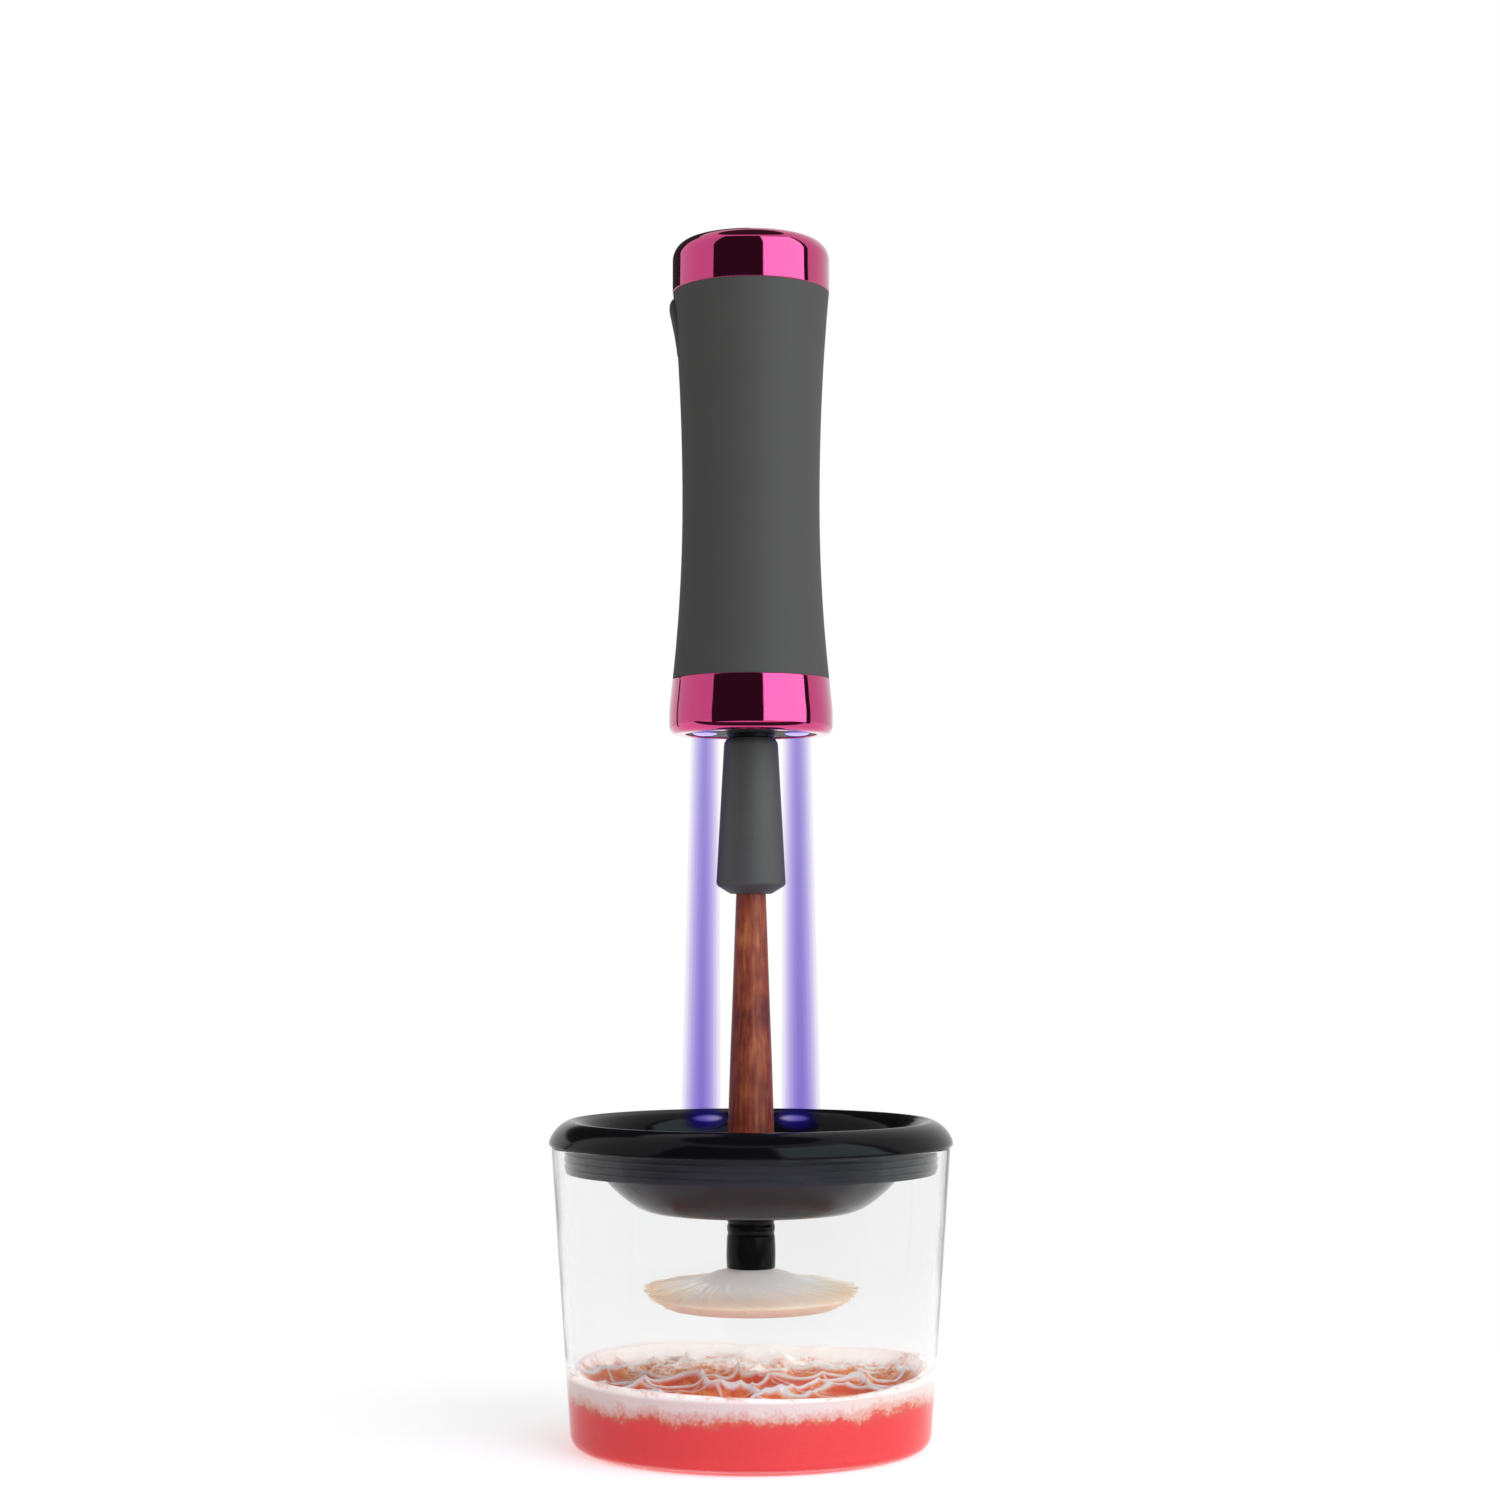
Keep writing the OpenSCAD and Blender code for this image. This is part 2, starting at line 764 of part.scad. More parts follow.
module collar() {
    top_r = 5.9;
    shoulder = [6.75, collar_top - 1.2];
    mouth_r = 5.1;
    lip_z = collar_z + 2.3;
    slits = 4;
    slit_w = 0.9;
    slit_l = 14;
    color("#4a4a48") difference() {
        revolve(concat(
            [[0, collar_z], [mouth_r, collar_z], [collar_lip_r - 0.35, lip_z - 0.25]],
            [[collar_lip_r, lip_z + 0.2], shoulder, [top_r, collar_top], [0, collar_top]]
        ));
        disc(socket_r, collar_z - over, collar_top - stub_l - 0.6);
        disc(stub_r + running, collar_top - stub_l - over, collar_top + over);
        // Slits from the mouth that let the grip open
        for (i = [0:slits - 1]) rotate([0, 0, 45 + i * 360 / slits])
            block([socket_r - 1, mouth_r - 0.4], [-slit_w / 2, slit_w / 2],
                [collar_z - over, collar_z + slit_l]);
    }
}

// Make-up brush

module brush_handle() {
    tip_r = 3.1;
    color("#823c28") revolve(concat(
        [[0, ferrule_top - tenon_l], [tenon_r, ferrule_top - tenon_l], [tenon_r, ferrule_top]],
        [[5.95, ferrule_top], [5.75, ferrule_top + 11], [5.25, ferrule_top + 28]],
        [[4.65, ferrule_top + 44], [3.72, collar_z], [tip_r, wood_top - 1.6]],
        dome(0, wood_top - 1.6, tip_r, 1.6, 6)
    ));
}

module brush_ferrule() {
    bore_r = 5.3;
    color("#121214") revolve([
        [bore_r, ferrule_z], [ferrule_r - 0.1, ferrule_z], [ferrule_r, ferrule_z + 4],
        [5.85, ferrule_z + 13], [6.05, ferrule_top], [tenon_r, ferrule_top],
        [tenon_r, ferrule_top - tenon_l - 0.2], [bore_r, ferrule_top - tenon_l - 1]
    ]);
}

module brush_bristles() {
    root_r = 5.2;
    root_z = ferrule_z - 0.05;
    color("#d8d2cc") revolve([
        [0, tips_z], [bristle_r - 3.4, tips_z], [bristle_r - 0.6, tips_z + 1.4],
        [bristle_r, tips_z + 3.2], [bristle_r - 1.6, tips_z + 4.8],
        [20, tips_z + 6.2], [13, tips_z + 8], [9, tips_z + 9.6], [6.4, root_z],
        [root_r, root_z], [root_r, ferrule_z + 6], [0, ferrule_z + 6]
    ]);
}

bowl();
splash_guard();
outer_casing();
top_cap();
bottom_ring();
nose_plate();
chassis_front();
chassis_rear();
chassis_screws();
nose_screws();
motor_mount();
motor_screws();
motor_can();
motor_magnets();
motor_endbell();
motor_terminals();
spindle_bearing();
shaft_seal();
battery_cell();
battery_tabs();
circuit_board();
board_components();
tact_switch();
usb_socket();
led_board();
led_emitters();
led_lenses();
motor_leads();
led_leads();
motor_shaft();
motor_armature();
drive_coupling();
spindle();
collar();
brush_handle();
brush_ferrule();
brush_bristles();
power_button();
switch_plunger();
port_cover();
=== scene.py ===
# %% [markdown]
# # A make-up brush cleaner, built round its CAD frame
#
# The object is a clear bowl with a black splash guard, and a battery handle that spins a
# make-up brush above the cleaning liquid. The imported CAD model holds every size and every
# joint. This script gives it its looks: it rebuilds the pieces whose highlights need smooth,
# rounded shapes, and gives each other piece the finish of its real material.
#
# First the frame is loaded, and its parts' boxes give the pieces made here their sizes.
# Nothing made here may grow past it.

import math

import bpy
import numpy as np
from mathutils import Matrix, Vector


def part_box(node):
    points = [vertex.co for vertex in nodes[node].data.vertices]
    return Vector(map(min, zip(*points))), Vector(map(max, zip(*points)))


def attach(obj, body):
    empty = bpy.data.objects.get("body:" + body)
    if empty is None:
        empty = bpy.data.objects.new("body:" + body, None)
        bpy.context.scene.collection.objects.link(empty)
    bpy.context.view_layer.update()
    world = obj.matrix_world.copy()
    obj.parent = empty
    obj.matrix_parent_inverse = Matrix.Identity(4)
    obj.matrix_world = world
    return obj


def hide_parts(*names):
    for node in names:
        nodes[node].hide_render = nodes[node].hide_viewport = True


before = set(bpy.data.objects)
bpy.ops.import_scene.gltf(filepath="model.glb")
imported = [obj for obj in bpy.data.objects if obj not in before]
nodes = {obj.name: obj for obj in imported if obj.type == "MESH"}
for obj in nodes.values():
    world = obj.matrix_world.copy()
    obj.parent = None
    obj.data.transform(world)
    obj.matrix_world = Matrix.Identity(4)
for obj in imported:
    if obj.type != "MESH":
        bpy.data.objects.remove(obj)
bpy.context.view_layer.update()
scene = bpy.context.scene

# %% [markdown]
# ## The camera
#
# A long lens at table height, 0.7 m away, shows the handle's sides almost parallel and looks
# slightly down into the dish. It is tilted up a little and shifted a little: each of the two
# alone would either bend the uprights or cut the bowl off when the camera goes round.

# %% Camera
CAMERA_DISTANCE = 0.700
CAMERA_HEIGHT = 0.12725
CAMERA_TILT = math.radians(2.45)

camera_data = bpy.data.cameras.new("camera")
camera_data.lens = 67.2
camera_data.sensor_width = 36
camera_data.shift_y = 0.04
camera = bpy.data.objects.new("camera", camera_data)
camera.location = (-0.00025, -CAMERA_DISTANCE, CAMERA_HEIGHT)
camera.rotation_euler = (math.pi / 2 + CAMERA_TILT, 0, 0)
scene.collection.objects.link(camera)
scene.camera = camera
scene.view_settings.view_transform = "Standard"
print("camera", tuple(round(x, 3) for x in camera.location))

# %% [markdown]
# ## Helpers for shapes
#
# Nearly every piece here was turned or moulded round one axis, so a surface of revolution
# is the honest way to make it. A profile is a short list of corners in millimetres, each
# with its own rounding, because a real moulding has no sharp corner and a highlight runs
# along every edge. The profile is carried round Z as whole numpy arrays.

# %% Helpers: colours, profiles and meshes
MM = 0.001


def linear(code):
    """The linear RGBA colour of an sRGB hex code such as "#c53371"."""
    srgb = np.array([int(code[i : i + 2], 16) for i in (1, 3, 5)]) / 255
    low, high = srgb / 12.92, ((srgb + 0.055) / 1.055) ** 2.4
    return (*np.where(srgb <= 0.04045, low, high), 1.0)


def rounded(corners, steps=6):
    """An outline with eased corners. Each corner is (r, z) or (r, z, cut).

    A cut corner P becomes the parabola (1-s)^2 A + 2s(1-s) P + s^2 B, where A and B lie
    the cut's length away from P along the two sides. The outline closes on itself.
    """
    points = []
    for i, corner in enumerate(corners):
        here = np.array(corner[:2], float)
        if len(corner) == 2:
            points.append(here[None])
            continue
        before, after = (np.array(corners[k][:2], float) for k in (i - 1, (i + 1) % len(corners)))
        reach = [min(corner[2], 0.49 * np.linalg.norm(p - here)) for p in (before, after)]
        a = here + (before - here) * reach[0] / np.linalg.norm(before - here)
        b = here + (after - here) * reach[1] / np.linalg.norm(after - here)
        s = np.linspace(0, 1, steps + 1)[:, None]
        points.append((1 - s) ** 2 * a + 2 * s * (1 - s) * here + s**2 * b)
    return np.concatenate(points)


def eased(knots, count):
    """A smooth curve through a few knots: cubic Hermite pieces whose slope at a knot is the
    slope between its two neighbours."""
    knots = np.array(knots, float)
    slope = np.gradient(knots, axis=0)
    u = np.linspace(0, len(knots) - 1, count)
    i = np.minimum(u.astype(int), len(knots) - 2)
    t = (u - i)[:, None]
    return (
        (2 * t**3 - 3 * t**2 + 1) * knots[i]
        + (t**3 - 2 * t**2 + t) * slope[i]
        + (3 * t**2 - 2 * t**3) * knots[i + 1]
        + (t**3 - t**2) * slope[i + 1]
    )


def mesh_piece(name, points, faces, crease=35):
    """A mesh object from points in millimetres. Faces that meet at more than the crease
    angle keep a crisp edge, and all others shade smoothly."""
    mesh = bpy.data.meshes.new(name)
    mesh.from_pydata(np.asarray(points) * MM, [], faces)
    mesh.polygons.foreach_set("use_smooth", np.ones(len(mesh.polygons), bool))
    mesh.set_sharp_from_angle(angle=math.radians(crease))
    piece = bpy.data.objects.new(name, mesh)
    scene.collection.objects.link(piece)
    return piece


def ring_faces(rows, around, closed):
    """Quads between neighbouring rings of a grid of rows by around points."""
    i = np.arange(rows if closed else rows - 1)[:, None]
    j = np.arange(around)[None]
    k, n = (j + 1) % around, (i + 1) % rows
    quads = np.stack([i * around + j, i * around + k, n * around + k, n * around + j], -1)
    return quads.reshape(-1, 4)


def turned(outline, around=192, bend=None):
    """Points and faces of a surface of revolution.

    Each outline point (r, z) becomes the ring (r cos a, r sin a, z). The outline runs up on
    the outside, so that faces point outwards. It closes on itself, unless it starts and ends
    on the axis, where each end ring shrinks to one point. bend, if given, changes the whole
    array of points before the faces are made; it gets the points and the angles.
    """
    outline = np.asarray(outline, float)
    angle = np.linspace(0, 2 * np.pi, around, endpoint=False)
    r, z = outline[:, :1], outline[:, 1:]
    points = np.stack([r * np.cos(angle), r * np.sin(angle), z + 0 * angle], -1)
    if bend is not None:
        points = bend(points, angle)
    on_axis = outline[0, 0] < 1e-6 and outline[-1, 0] < 1e-6
    faces = ring_faces(len(outline), around, not on_axis)
    flat = points.reshape(-1, 3)
    if not on_axis:
        return flat, faces.tolist()
    inner = flat[around:-around]
    count = len(inner)
    quads = faces[around:-around] - around
    j = np.arange(around)
    k = (j + 1) % around
    start = np.stack([np.full(around, count), k, j], -1)
    end = np.stack([np.full(around, count + 1), count - around + j, count - around + k], -1)
    poles = flat[[0, -1]]
    return np.concatenate([inner, poles]), quads.tolist() + start.tolist() + end.tolist()


def joined(*shells):
    """Several (points, faces) shells as one."""
    points, faces, offset = [], [], 0
    for shell_points, shell_faces in shells:
        points.append(shell_points)
        faces += [[offset + v for v in face] for face in shell_faces]
        offset += len(shell_points)
    return np.concatenate(points), faces


def dress(piece, finish, body, node):
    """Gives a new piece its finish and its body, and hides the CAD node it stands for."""
    piece.data.materials.append(finish)
    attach(piece, body)
    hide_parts(node)
    print(f"{piece.name}: {len(piece.data.polygons)} faces on {body}")
    return piece


# %% [markdown]
# ## The studio
#
# A white table and a white surround, as for a catalogue picture. Polished metal and gloss
# plastic show nothing but what stands round them, so the studio also has curved cards: a
# black one in front for the dark band in the pink metal, a bright one at the right front
# as the key light, and a black one behind at the left. The cards must not show when the
# camera goes round, nor through the clear bowl. So a card is clear to any ray that has only
# gone through things so far, and solid to one that has bounced off a surface. The key light
# is two cards in one place: one that only reflections see, and one that only lights.

# %% Helper: a finish's nodes
def add_node(tree, kind, inputs=None, **settings):
    """Adds one shader node of a kind. settings are its properties, and inputs maps the name
    or number of a socket to its value, or to what is linked to it: another node's output, or
    a whole node, which stands for its first output."""
    made = tree.nodes.new("ShaderNode" + kind)
    for name, value in settings.items():
        setattr(made, name, value)
    for key, value in (inputs or {}).items():
        if isinstance(value, bpy.types.Node):
            value = value.outputs[0]
        if isinstance(value, bpy.types.NodeSocket):
            tree.links.new(value, made.inputs[key])
        else:
            made.inputs[key].default_value = value
    return made


def blank_finish(name):
    """A new material with only its output node."""
    finish = bpy.data.materials.new(name)
    finish.use_nodes = True
    tree = finish.node_tree
    tree.nodes.clear()
    return finish, tree, tree.nodes.new("ShaderNodeOutputMaterial")


def graded(tree, share, stops):
    """A colour ramp over a share, from (place, hex code) stops."""
    ramp = add_node(tree, "ValToRGB", {"Fac": share})
    ramp.color_ramp.elements.remove(ramp.color_ramp.elements[-1])
    for spot, code in stops:
        stop = ramp.color_ramp.elements[0] if spot == 0 else ramp.color_ramp.elements.new(spot)
        stop.color = linear(code)
    return ramp.outputs[0]


# %% Studio: surround, table and cards
world = bpy.data.worlds.new("surround")
world.use_nodes = True
scene.world = world
surround = world.node_tree.nodes["Background"]
surround.inputs["Color"].default_value = (1, 1, 1, 1)
sight = add_node(world.node_tree, "LightPath")
# The surround is white to look at, a little duller in reflections, and as a light it is
# stronger on the right, which shades the round handle softly
heading = add_node(
    world.node_tree, "SeparateXYZ", {0: add_node(world.node_tree, "TexCoord").outputs["Generated"]}
)
side_light = add_node(
    world.node_tree,
    "MapRange",
    {"Value": heading.outputs["X"], "From Min": -1.0, "From Max": 1.0, "To Min": 0.22, "To Max": 0.74},
)
# Each kind of ray replaces the strength that all others see
strength = 0.8
for ray, seen in (
    ("Is Diffuse Ray", side_light.outputs[0]), ("Is Transmission Ray", 0.93), ("Is Camera Ray", 1.0)
):  # fmt: skip
    strength = add_node(world.node_tree, "Mix", {0: sight.outputs[ray], 2: strength, 3: seen}).outputs[0]
world.node_tree.links.new(strength, surround.inputs["Strength"])

paper, tree, output = blank_finish("white_table")
sheet = add_node(
    tree,
    "BsdfPrincipled",
    {"Base Color": linear("#f7f7f7"), "Roughness": 0.6, "Specular IOR Level": 0.2}
    | {"Emission Color": (1, 1, 1, 1), "Emission Strength": 0.47},
)
# Away from the object the table fades into the white of the surround, so no edge shows
place = add_node(tree, "TexCoord").outputs["Object"]
reach = add_node(tree, "VectorMath", {0: place}, operation="LENGTH").outputs["Value"]
fade = add_node(tree, "MapRange", {"Value": reach, "From Min": 0.07, "From Max": 0.28})
white = add_node(tree, "Emission", {"Color": (1, 1, 1, 1), "Strength": 1.0})
both = add_node(tree, "MixShader", {0: fade, 1: sheet, 2: white})
# A dark cloth lies in front, which only reflections see: it keeps the clear wall from
# mirroring the table over the black ferrule
forward = add_node(tree, "SeparateXYZ", {0: place}).outputs["Y"]
near = add_node(tree, "MapRange", {"Value": forward, "From Min": -0.12, "From Max": -0.16})
far = add_node(tree, "MapRange", {"Value": forward, "From Min": -0.6, "From Max": -0.5})
middle = add_node(tree, "Math", {0: near, 1: far}, operation="MULTIPLY")
bounced = add_node(tree, "LightPath").outputs["Glossy Depth"]
mirrored = add_node(tree, "Math", {0: bounced, 1: 0.5}, operation="GREATER_THAN")
covered = add_node(tree, "Math", {0: middle, 1: mirrored}, operation="MULTIPLY")
cloth = add_node(tree, "Emission", {"Color": (1, 1, 1, 1), "Strength": 0.05})
table_look = add_node(tree, "MixShader", {0: covered, 1: both, 2: cloth})
tree.links.new(table_look.outputs[0], output.inputs[0])

TABLE_R = 4000
table = mesh_piece("table", *turned([(0, -5), (TABLE_R, -5), (TABLE_R, 0), (0, 0)], 64))
table.data.materials.append(paper)


def glowing(name, points, faces, radiance, lights_scene=False):
    """A studio card of one even radiance, for reflections or for lighting the scene."""
    piece = mesh_piece(name, points, faces)
    finish, tree, output = blank_finish(name)
    ray = add_node(tree, "LightPath")
    bounces = add_node(
        tree,
        "Math",
        {0: ray.outputs["Ray Depth"], 1: ray.outputs["Transmission Depth"]},
        operation="SUBTRACT",
    )
    solid = add_node(tree, "Math", {0: bounces, 1: 0.5}, operation="GREATER_THAN")
    clear = add_node(tree, "BsdfTransparent", {"Color": (1, 1, 1, 1)})
    shine = add_node(tree, "Emission", {"Color": (*radiance, 1.0), "Strength": 1.0})
    either = add_node(tree, "MixShader", {0: solid, 1: clear, 2: shine})
    tree.links.new(either.outputs[0], output.inputs[0])
    piece.data.materials.append(finish)
    piece.visible_camera = False
    piece.visible_shadow = False
    piece.visible_diffuse = lights_scene
    piece.visible_glossy = not lights_scene
    piece.visible_transmission = not lights_scene


def arc_wall(turn_from, turn_to, low, high, distance=900):
    """An upright wall along an arc round the object: points at (d sin t, -d cos t) for a
    turn t in degrees to the right of the camera, from low to high."""
    turn = np.radians(np.linspace(turn_from, turn_to, 33))
    foot = np.stack([distance * np.sin(turn), -distance * np.cos(turn), 0 * turn + low], -1)
    i = np.arange(len(turn) - 1)
    faces = np.stack([i, i + len(turn), i + 1 + len(turn), i + 1], -1)
    return np.concatenate([foot, foot + [0, 0, high - low]]), faces.tolist()


def light(name, kind, location, **settings):
    """A lamp of a kind at a location in metres. settings are its data's properties."""
    data = bpy.data.lights.new(name, kind)
    for key, value in settings.items():
        setattr(data, key, value)
    made = bpy.data.objects.new(name, data)
    made.location = location
    scene.collection.objects.link(made)
    return made


BLACK = (0.035, 0.035, 0.035)
KEY = (2.0, 2.4, 2.35)
FILL = (2.3, 2.3, 2.25)
glowing("front_card", *arc_wall(-56, 17, -20, 1700), BLACK)
glowing("key_card", *arc_wall(18, 83, 60, 1500), KEY)
glowing("key_light", *arc_wall(18, 83, 60, 1500), FILL, lights_scene=True)
glowing("right_strip", *arc_wall(83, 91, -20, 1500), BLACK)
glowing("rear_card", *arc_wall(-180, -126, 360, 1300), BLACK)
glowing("rear_strip", *arc_wall(-128, -124, -20, 360), BLACK)
glowing("ceiling", *turned([(0, 1390), (520, 1390), (520, 1400), (0, 1400)], 64), (0.05, 0.05, 0.05))
for side in (-1, 1):
    # Two soft spots at the front reach under the guard, through the clear wall
    bowl_fill = light(
        "bowl_fill", "SPOT", (side * 0.36, -0.46, 0.075),
        energy=0.7, spot_size=math.radians(14), spot_blend=1.0, shadow_soft_size=0.05,
    )  # fmt: skip
    aim = bowl_fill.location - Vector((0, 0, 0.03))
    bowl_fill.rotation_euler = aim.to_track_quat("Z", "Y").to_euler()
    bowl_fill.visible_glossy = False
    bowl_fill.visible_transmission = False

# %% [markdown]
# ## Finishes: moulded plastics
#
# A moulding takes the texture of its steel mould. Even a gloss one carries a faint long
# wave, and a satin one a fine spark-eroded grain. So each plastic gets a base colour with
# a slight drift, a roughness that drifts too, and a fine bump, all from noise whose cell
# size is given in millimetres.

# %% Helper: plastics, rubbers and plain metals
def moulded(name, colours, drift_mm, roughness, grain_mm, bump_mm, **look):
    """A finish whose colour drifts between two hex codes and whose roughness drifts between
    two values over drift_mm, with a bump of bump_mm high grains of grain_mm. look sets
    further sockets of the Principled shader, with _ for a space."""
    finish, tree, output = blank_finish(name)
    place = add_node(tree, "TexCoord").outputs["Object"]
    drift = add_node(
        tree, "TexNoise", {"Vector": place, "Scale": 1000 / drift_mm, "Detail": 3.0}
    ).outputs["Fac"]
    # A colour Mix node's own sockets are 0 for the factor, 6 and 7 for the two colours
    colour = add_node(
        tree, "Mix", {0: drift, 6: linear(colours[0]), 7: linear(colours[1])}, data_type="RGBA"
    )
    rough = add_node(
        tree,
        "MapRange",
        {"Value": drift, "From Min": 0.3, "From Max": 0.7}
        | {"To Min": roughness[0], "To Max": roughness[1]},
    )
    grain = add_node(tree, "TexNoise", {"Vector": place, "Scale": 1000 / grain_mm, "Detail": 2.0})
    bump = add_node(
        tree, "Bump", {"Height": grain.outputs["Fac"], "Distance": bump_mm * MM, "Strength": 1.0}
    )
    shader = add_node(
        tree,
        "BsdfPrincipled",
        {"Roughness": rough, "Normal": bump}
        | {key.replace("_", " "): value for key, value in look.items()},
    )
    tree.links.new(colour.outputs[2], shader.inputs["Base Color"])
    tree.links.new(shader.outputs[0], output.inputs[0])
    return finish


# Soft-touch paint over ABS: a dull velvety grey without a clear reflection
soft_touch = moulded(
    "soft_touch_lacquer_on_abs", ("#434342", "#484847"), 9, (0.62, 0.70), 0.35, 0.012,
    Specular_IOR_Level=0.25,
)
# Silicone rubber, moulded: a shade smoother than the paint
silicone = moulded("moulded_silicone_rubber", ("#403f3e", "#464544"), 7, (0.52, 0.60), 0.5, 0.010)
# Gloss ABS: near-black, with the faint long wave of a polished mould
gloss_black = moulded(
    "polished_black_abs", ("#08080a", "#0c0c0e"), 25, (0.10, 0.16), 9, 0.012, Specular_IOR_Level=0.14
)
# Spark-eroded ABS on the nose, which sits in shadow
nose_black = moulded("textured_black_abs", ("#1d1d1e", "#262627"), 6, (0.5, 0.62), 0.4, 0.02)
natural_abs = moulded("natural_abs", ("#cfcfc9", "#dad9d3"), 10, (0.42, 0.55), 0.6, 0.012)
nylon = moulded("natural_nylon", ("#dcd9cc", "#e8e5da"), 6, (0.4, 0.5), 0.8, 0.01)
seal_rubber = moulded("nitrile_rubber", ("#141414", "#1d1d1d"), 3, (0.55, 0.7), 0.4, 0.01)
# Printed polyester sleeve shrunk on the cell: thin, tight and a little wavy
cell_sleeve = moulded("shrunk_sleeve", ("#27617f", "#2f7092"), 12, (0.22, 0.32), 3, 0.03)
lead_red = moulded("red_silicone_lead", ("#a51c1c", "#b62424"), 4, (0.35, 0.45), 0.5, 0.01)
lead_white = moulded("white_silicone_lead", ("#dededc", "#ececea"), 4, (0.35, 0.45), 0.5, 0.01)
epoxy_black = moulded("black_epoxy", ("#18181a", "#222224"), 2, (0.4, 0.55), 0.2, 0.01)
ferrite = moulded("sintered_ferrite", ("#2b2b2d", "#39393b"), 2, (0.55, 0.7), 0.3, 0.02)
bearing_bronze = moulded(
    "sintered_bronze", ("#7d5f37", "#94703f"), 1.5, (0.38, 0.52), 0.3, 0.015, Metallic=1.0
)
brass = moulded("stamped_brass", ("#a8863f", "#bb9748"), 3, (0.25, 0.36), 0.5, 0.006, Metallic=1.0)
zinc_steel = moulded(
    "zinc_plated_steel", ("#a9adb0", "#bcc0c3"), 3, (0.24, 0.38), 0.6, 0.006, Metallic=1.0
)
lens_glow = moulded(
    "frosted_polycarbonate_lens", ("#a598e6", "#b0a4ee"), 2, (0.2, 0.3), 0.5, 0.005,
    Emission_Color=linear("#8a7bff"), Emission_Strength=1.6,
)  # fmt: skip
emitter = moulded("phosphor_led", ("#e0d9ae", "#ece6c2"), 1, (0.3, 0.4), 0.3, 0.005)
print("moulded finishes:", len(bpy.data.materials))

# %% [markdown]
# ## Finishes with a character of their own
#
# The pink trim is ABS that was vacuum metallised and then dipped in a tinted lacquer. The
# colour comes from the tint, so a metallic shader with a pink base gives it, and a clear
# coat on top adds the lacquer's own pale reflection.
#
# The bowl is clear polystyrene, whose index is 1.59. A catalogue picture is lit so that the
# wall hardly mirrors, and a lower index gives that here. A shadow ray passes straight
# through it, as otherwise the bowl would throw a dark shadow that the real one doesn't have.

# %% Finishes: metallised trim and clear polystyrene
pink_metal = moulded(
    "pink_metallised_abs", ("#d0317a", "#d4367e"), 30, (0.03, 0.05), 12, 0.004,
    Metallic=1.0, Coat_Weight=0.8, Coat_Roughness=0.02, Coat_IOR=1.5,
)

clear_bowl, tree, output = blank_finish("clear_polystyrene")
place = add_node(tree, "TexCoord").outputs["Object"]
ripple = add_node(tree, "TexNoise", {"Vector": place, "Scale": 1000 / 14, "Detail": 1.0})
wave = add_node(tree, "Bump", {"Height": ripple.outputs["Fac"], "Distance": 0.05 * MM, "Strength": 1.0})
glass = add_node(
    tree,
    "BsdfPrincipled",
    {"Base Color": linear("#f8f8f8"), "Roughness": 0.02, "IOR": 1.22}
    | {"Transmission Weight": 1.0, "Normal": wave},
)
clear = add_node(tree, "BsdfTransparent", {"Color": (0.94, 0.94, 0.94, 1.0)})
ray = add_node(tree, "LightPath")
either = add_node(tree, "MixShader", {0: ray.outputs["Is Shadow Ray"], 1: glass, 2: clear})
tree.links.new(either.outputs[0], output.inputs[0])

# %% [markdown]
# The make-up brush's handle is turned wood, stained red-brown and lacquered. Grain is noise
# drawn out along the stick: cells under a millimetre wide and a centimetre long. A second,
# blotchy noise makes the stain darker in patches, as it takes unevenly on end grain.

# %% Finish: stained, lacquered wood
stained_wood, tree, output = blank_finish("stained_lacquered_wood")
place = add_node(tree, "TexCoord").outputs["Object"]
GRAIN_WIDTH, GRAIN_LENGTH, BLOTCH = 0.9, 7.0, 8.0
along = add_node(
    tree,
    "Mapping",
    {"Vector": place, "Scale": (1000 / GRAIN_WIDTH, 1000 / GRAIN_WIDTH, 1000 / GRAIN_LENGTH)},
)
fibre = add_node(tree, "TexNoise", {"Vector": along, "Scale": 1.0, "Detail": 4.0})
blotch = add_node(tree, "TexNoise", {"Vector": place, "Scale": 1000 / BLOTCH, "Detail": 3.0})
stain = add_node(tree, "Math", {0: fibre.outputs["Fac"], 1: blotch.outputs["Fac"]}, operation="ADD")
tone = add_node(tree, "MapRange", {"Value": stain, "From Min": 0.72, "From Max": 1.3})
colour = graded(
    tree, tone.outputs[0], ((0, "#5a1c10"), (0.35, "#7c3018"), (0.7, "#944624"), (1, "#a8622f"))
)
relief = add_node(
    tree, "Bump", {"Height": fibre.outputs["Fac"], "Distance": 0.0015 * MM, "Strength": 1.0}
)
wood = add_node(
    tree,
    "BsdfPrincipled",
    {"Base Color": colour, "Roughness": 0.5, "Normal": relief}
    | {"Specular IOR Level": 0.3, "Coat Weight": 0.2, "Coat Roughness": 0.4},
)
tree.links.new(wood.outputs[0], output.inputs[0])

# %% [markdown]
# Bristles are tapered synthetic fibres, dyed grey-white with cream tips. Each one carries
# its own map: along it, the map runs from root to tip, and across it sits one random number.
# So the dye can change along a fibre and no two fibres are quite alike. The darker grey at
# the roots, near the ferrule, is painted shade.

# %% Finish: dyed bristles
bristle_dye, tree, output = blank_finish("dyed_synthetic_fibre")
strand = add_node(tree, "UVMap", uv_map="strand")
parts = add_node(tree, "SeparateXYZ", {0: strand})
# From a painted shade of darker grey at the roots to the cream dye at the tips
dye_and_root_shade = graded(
    tree, parts.outputs["Y"],
    ((0, "#a8a3a1"), (0.2, "#dcd6d2"), (0.6, "#fbf5ef"), (0.85, "#fcefdf"), (1, "#f6d9b4")),
)  # fmt: skip
own = add_node(tree, "MapRange", {"Value": parts.outputs["X"], "To Min": 0.82, "To Max": 1.0})
shade = add_node(tree, "Mix", {0: 1.0, 6: dye_and_root_shade, 7: own}, data_type="RGBA", blend_type="MULTIPLY")
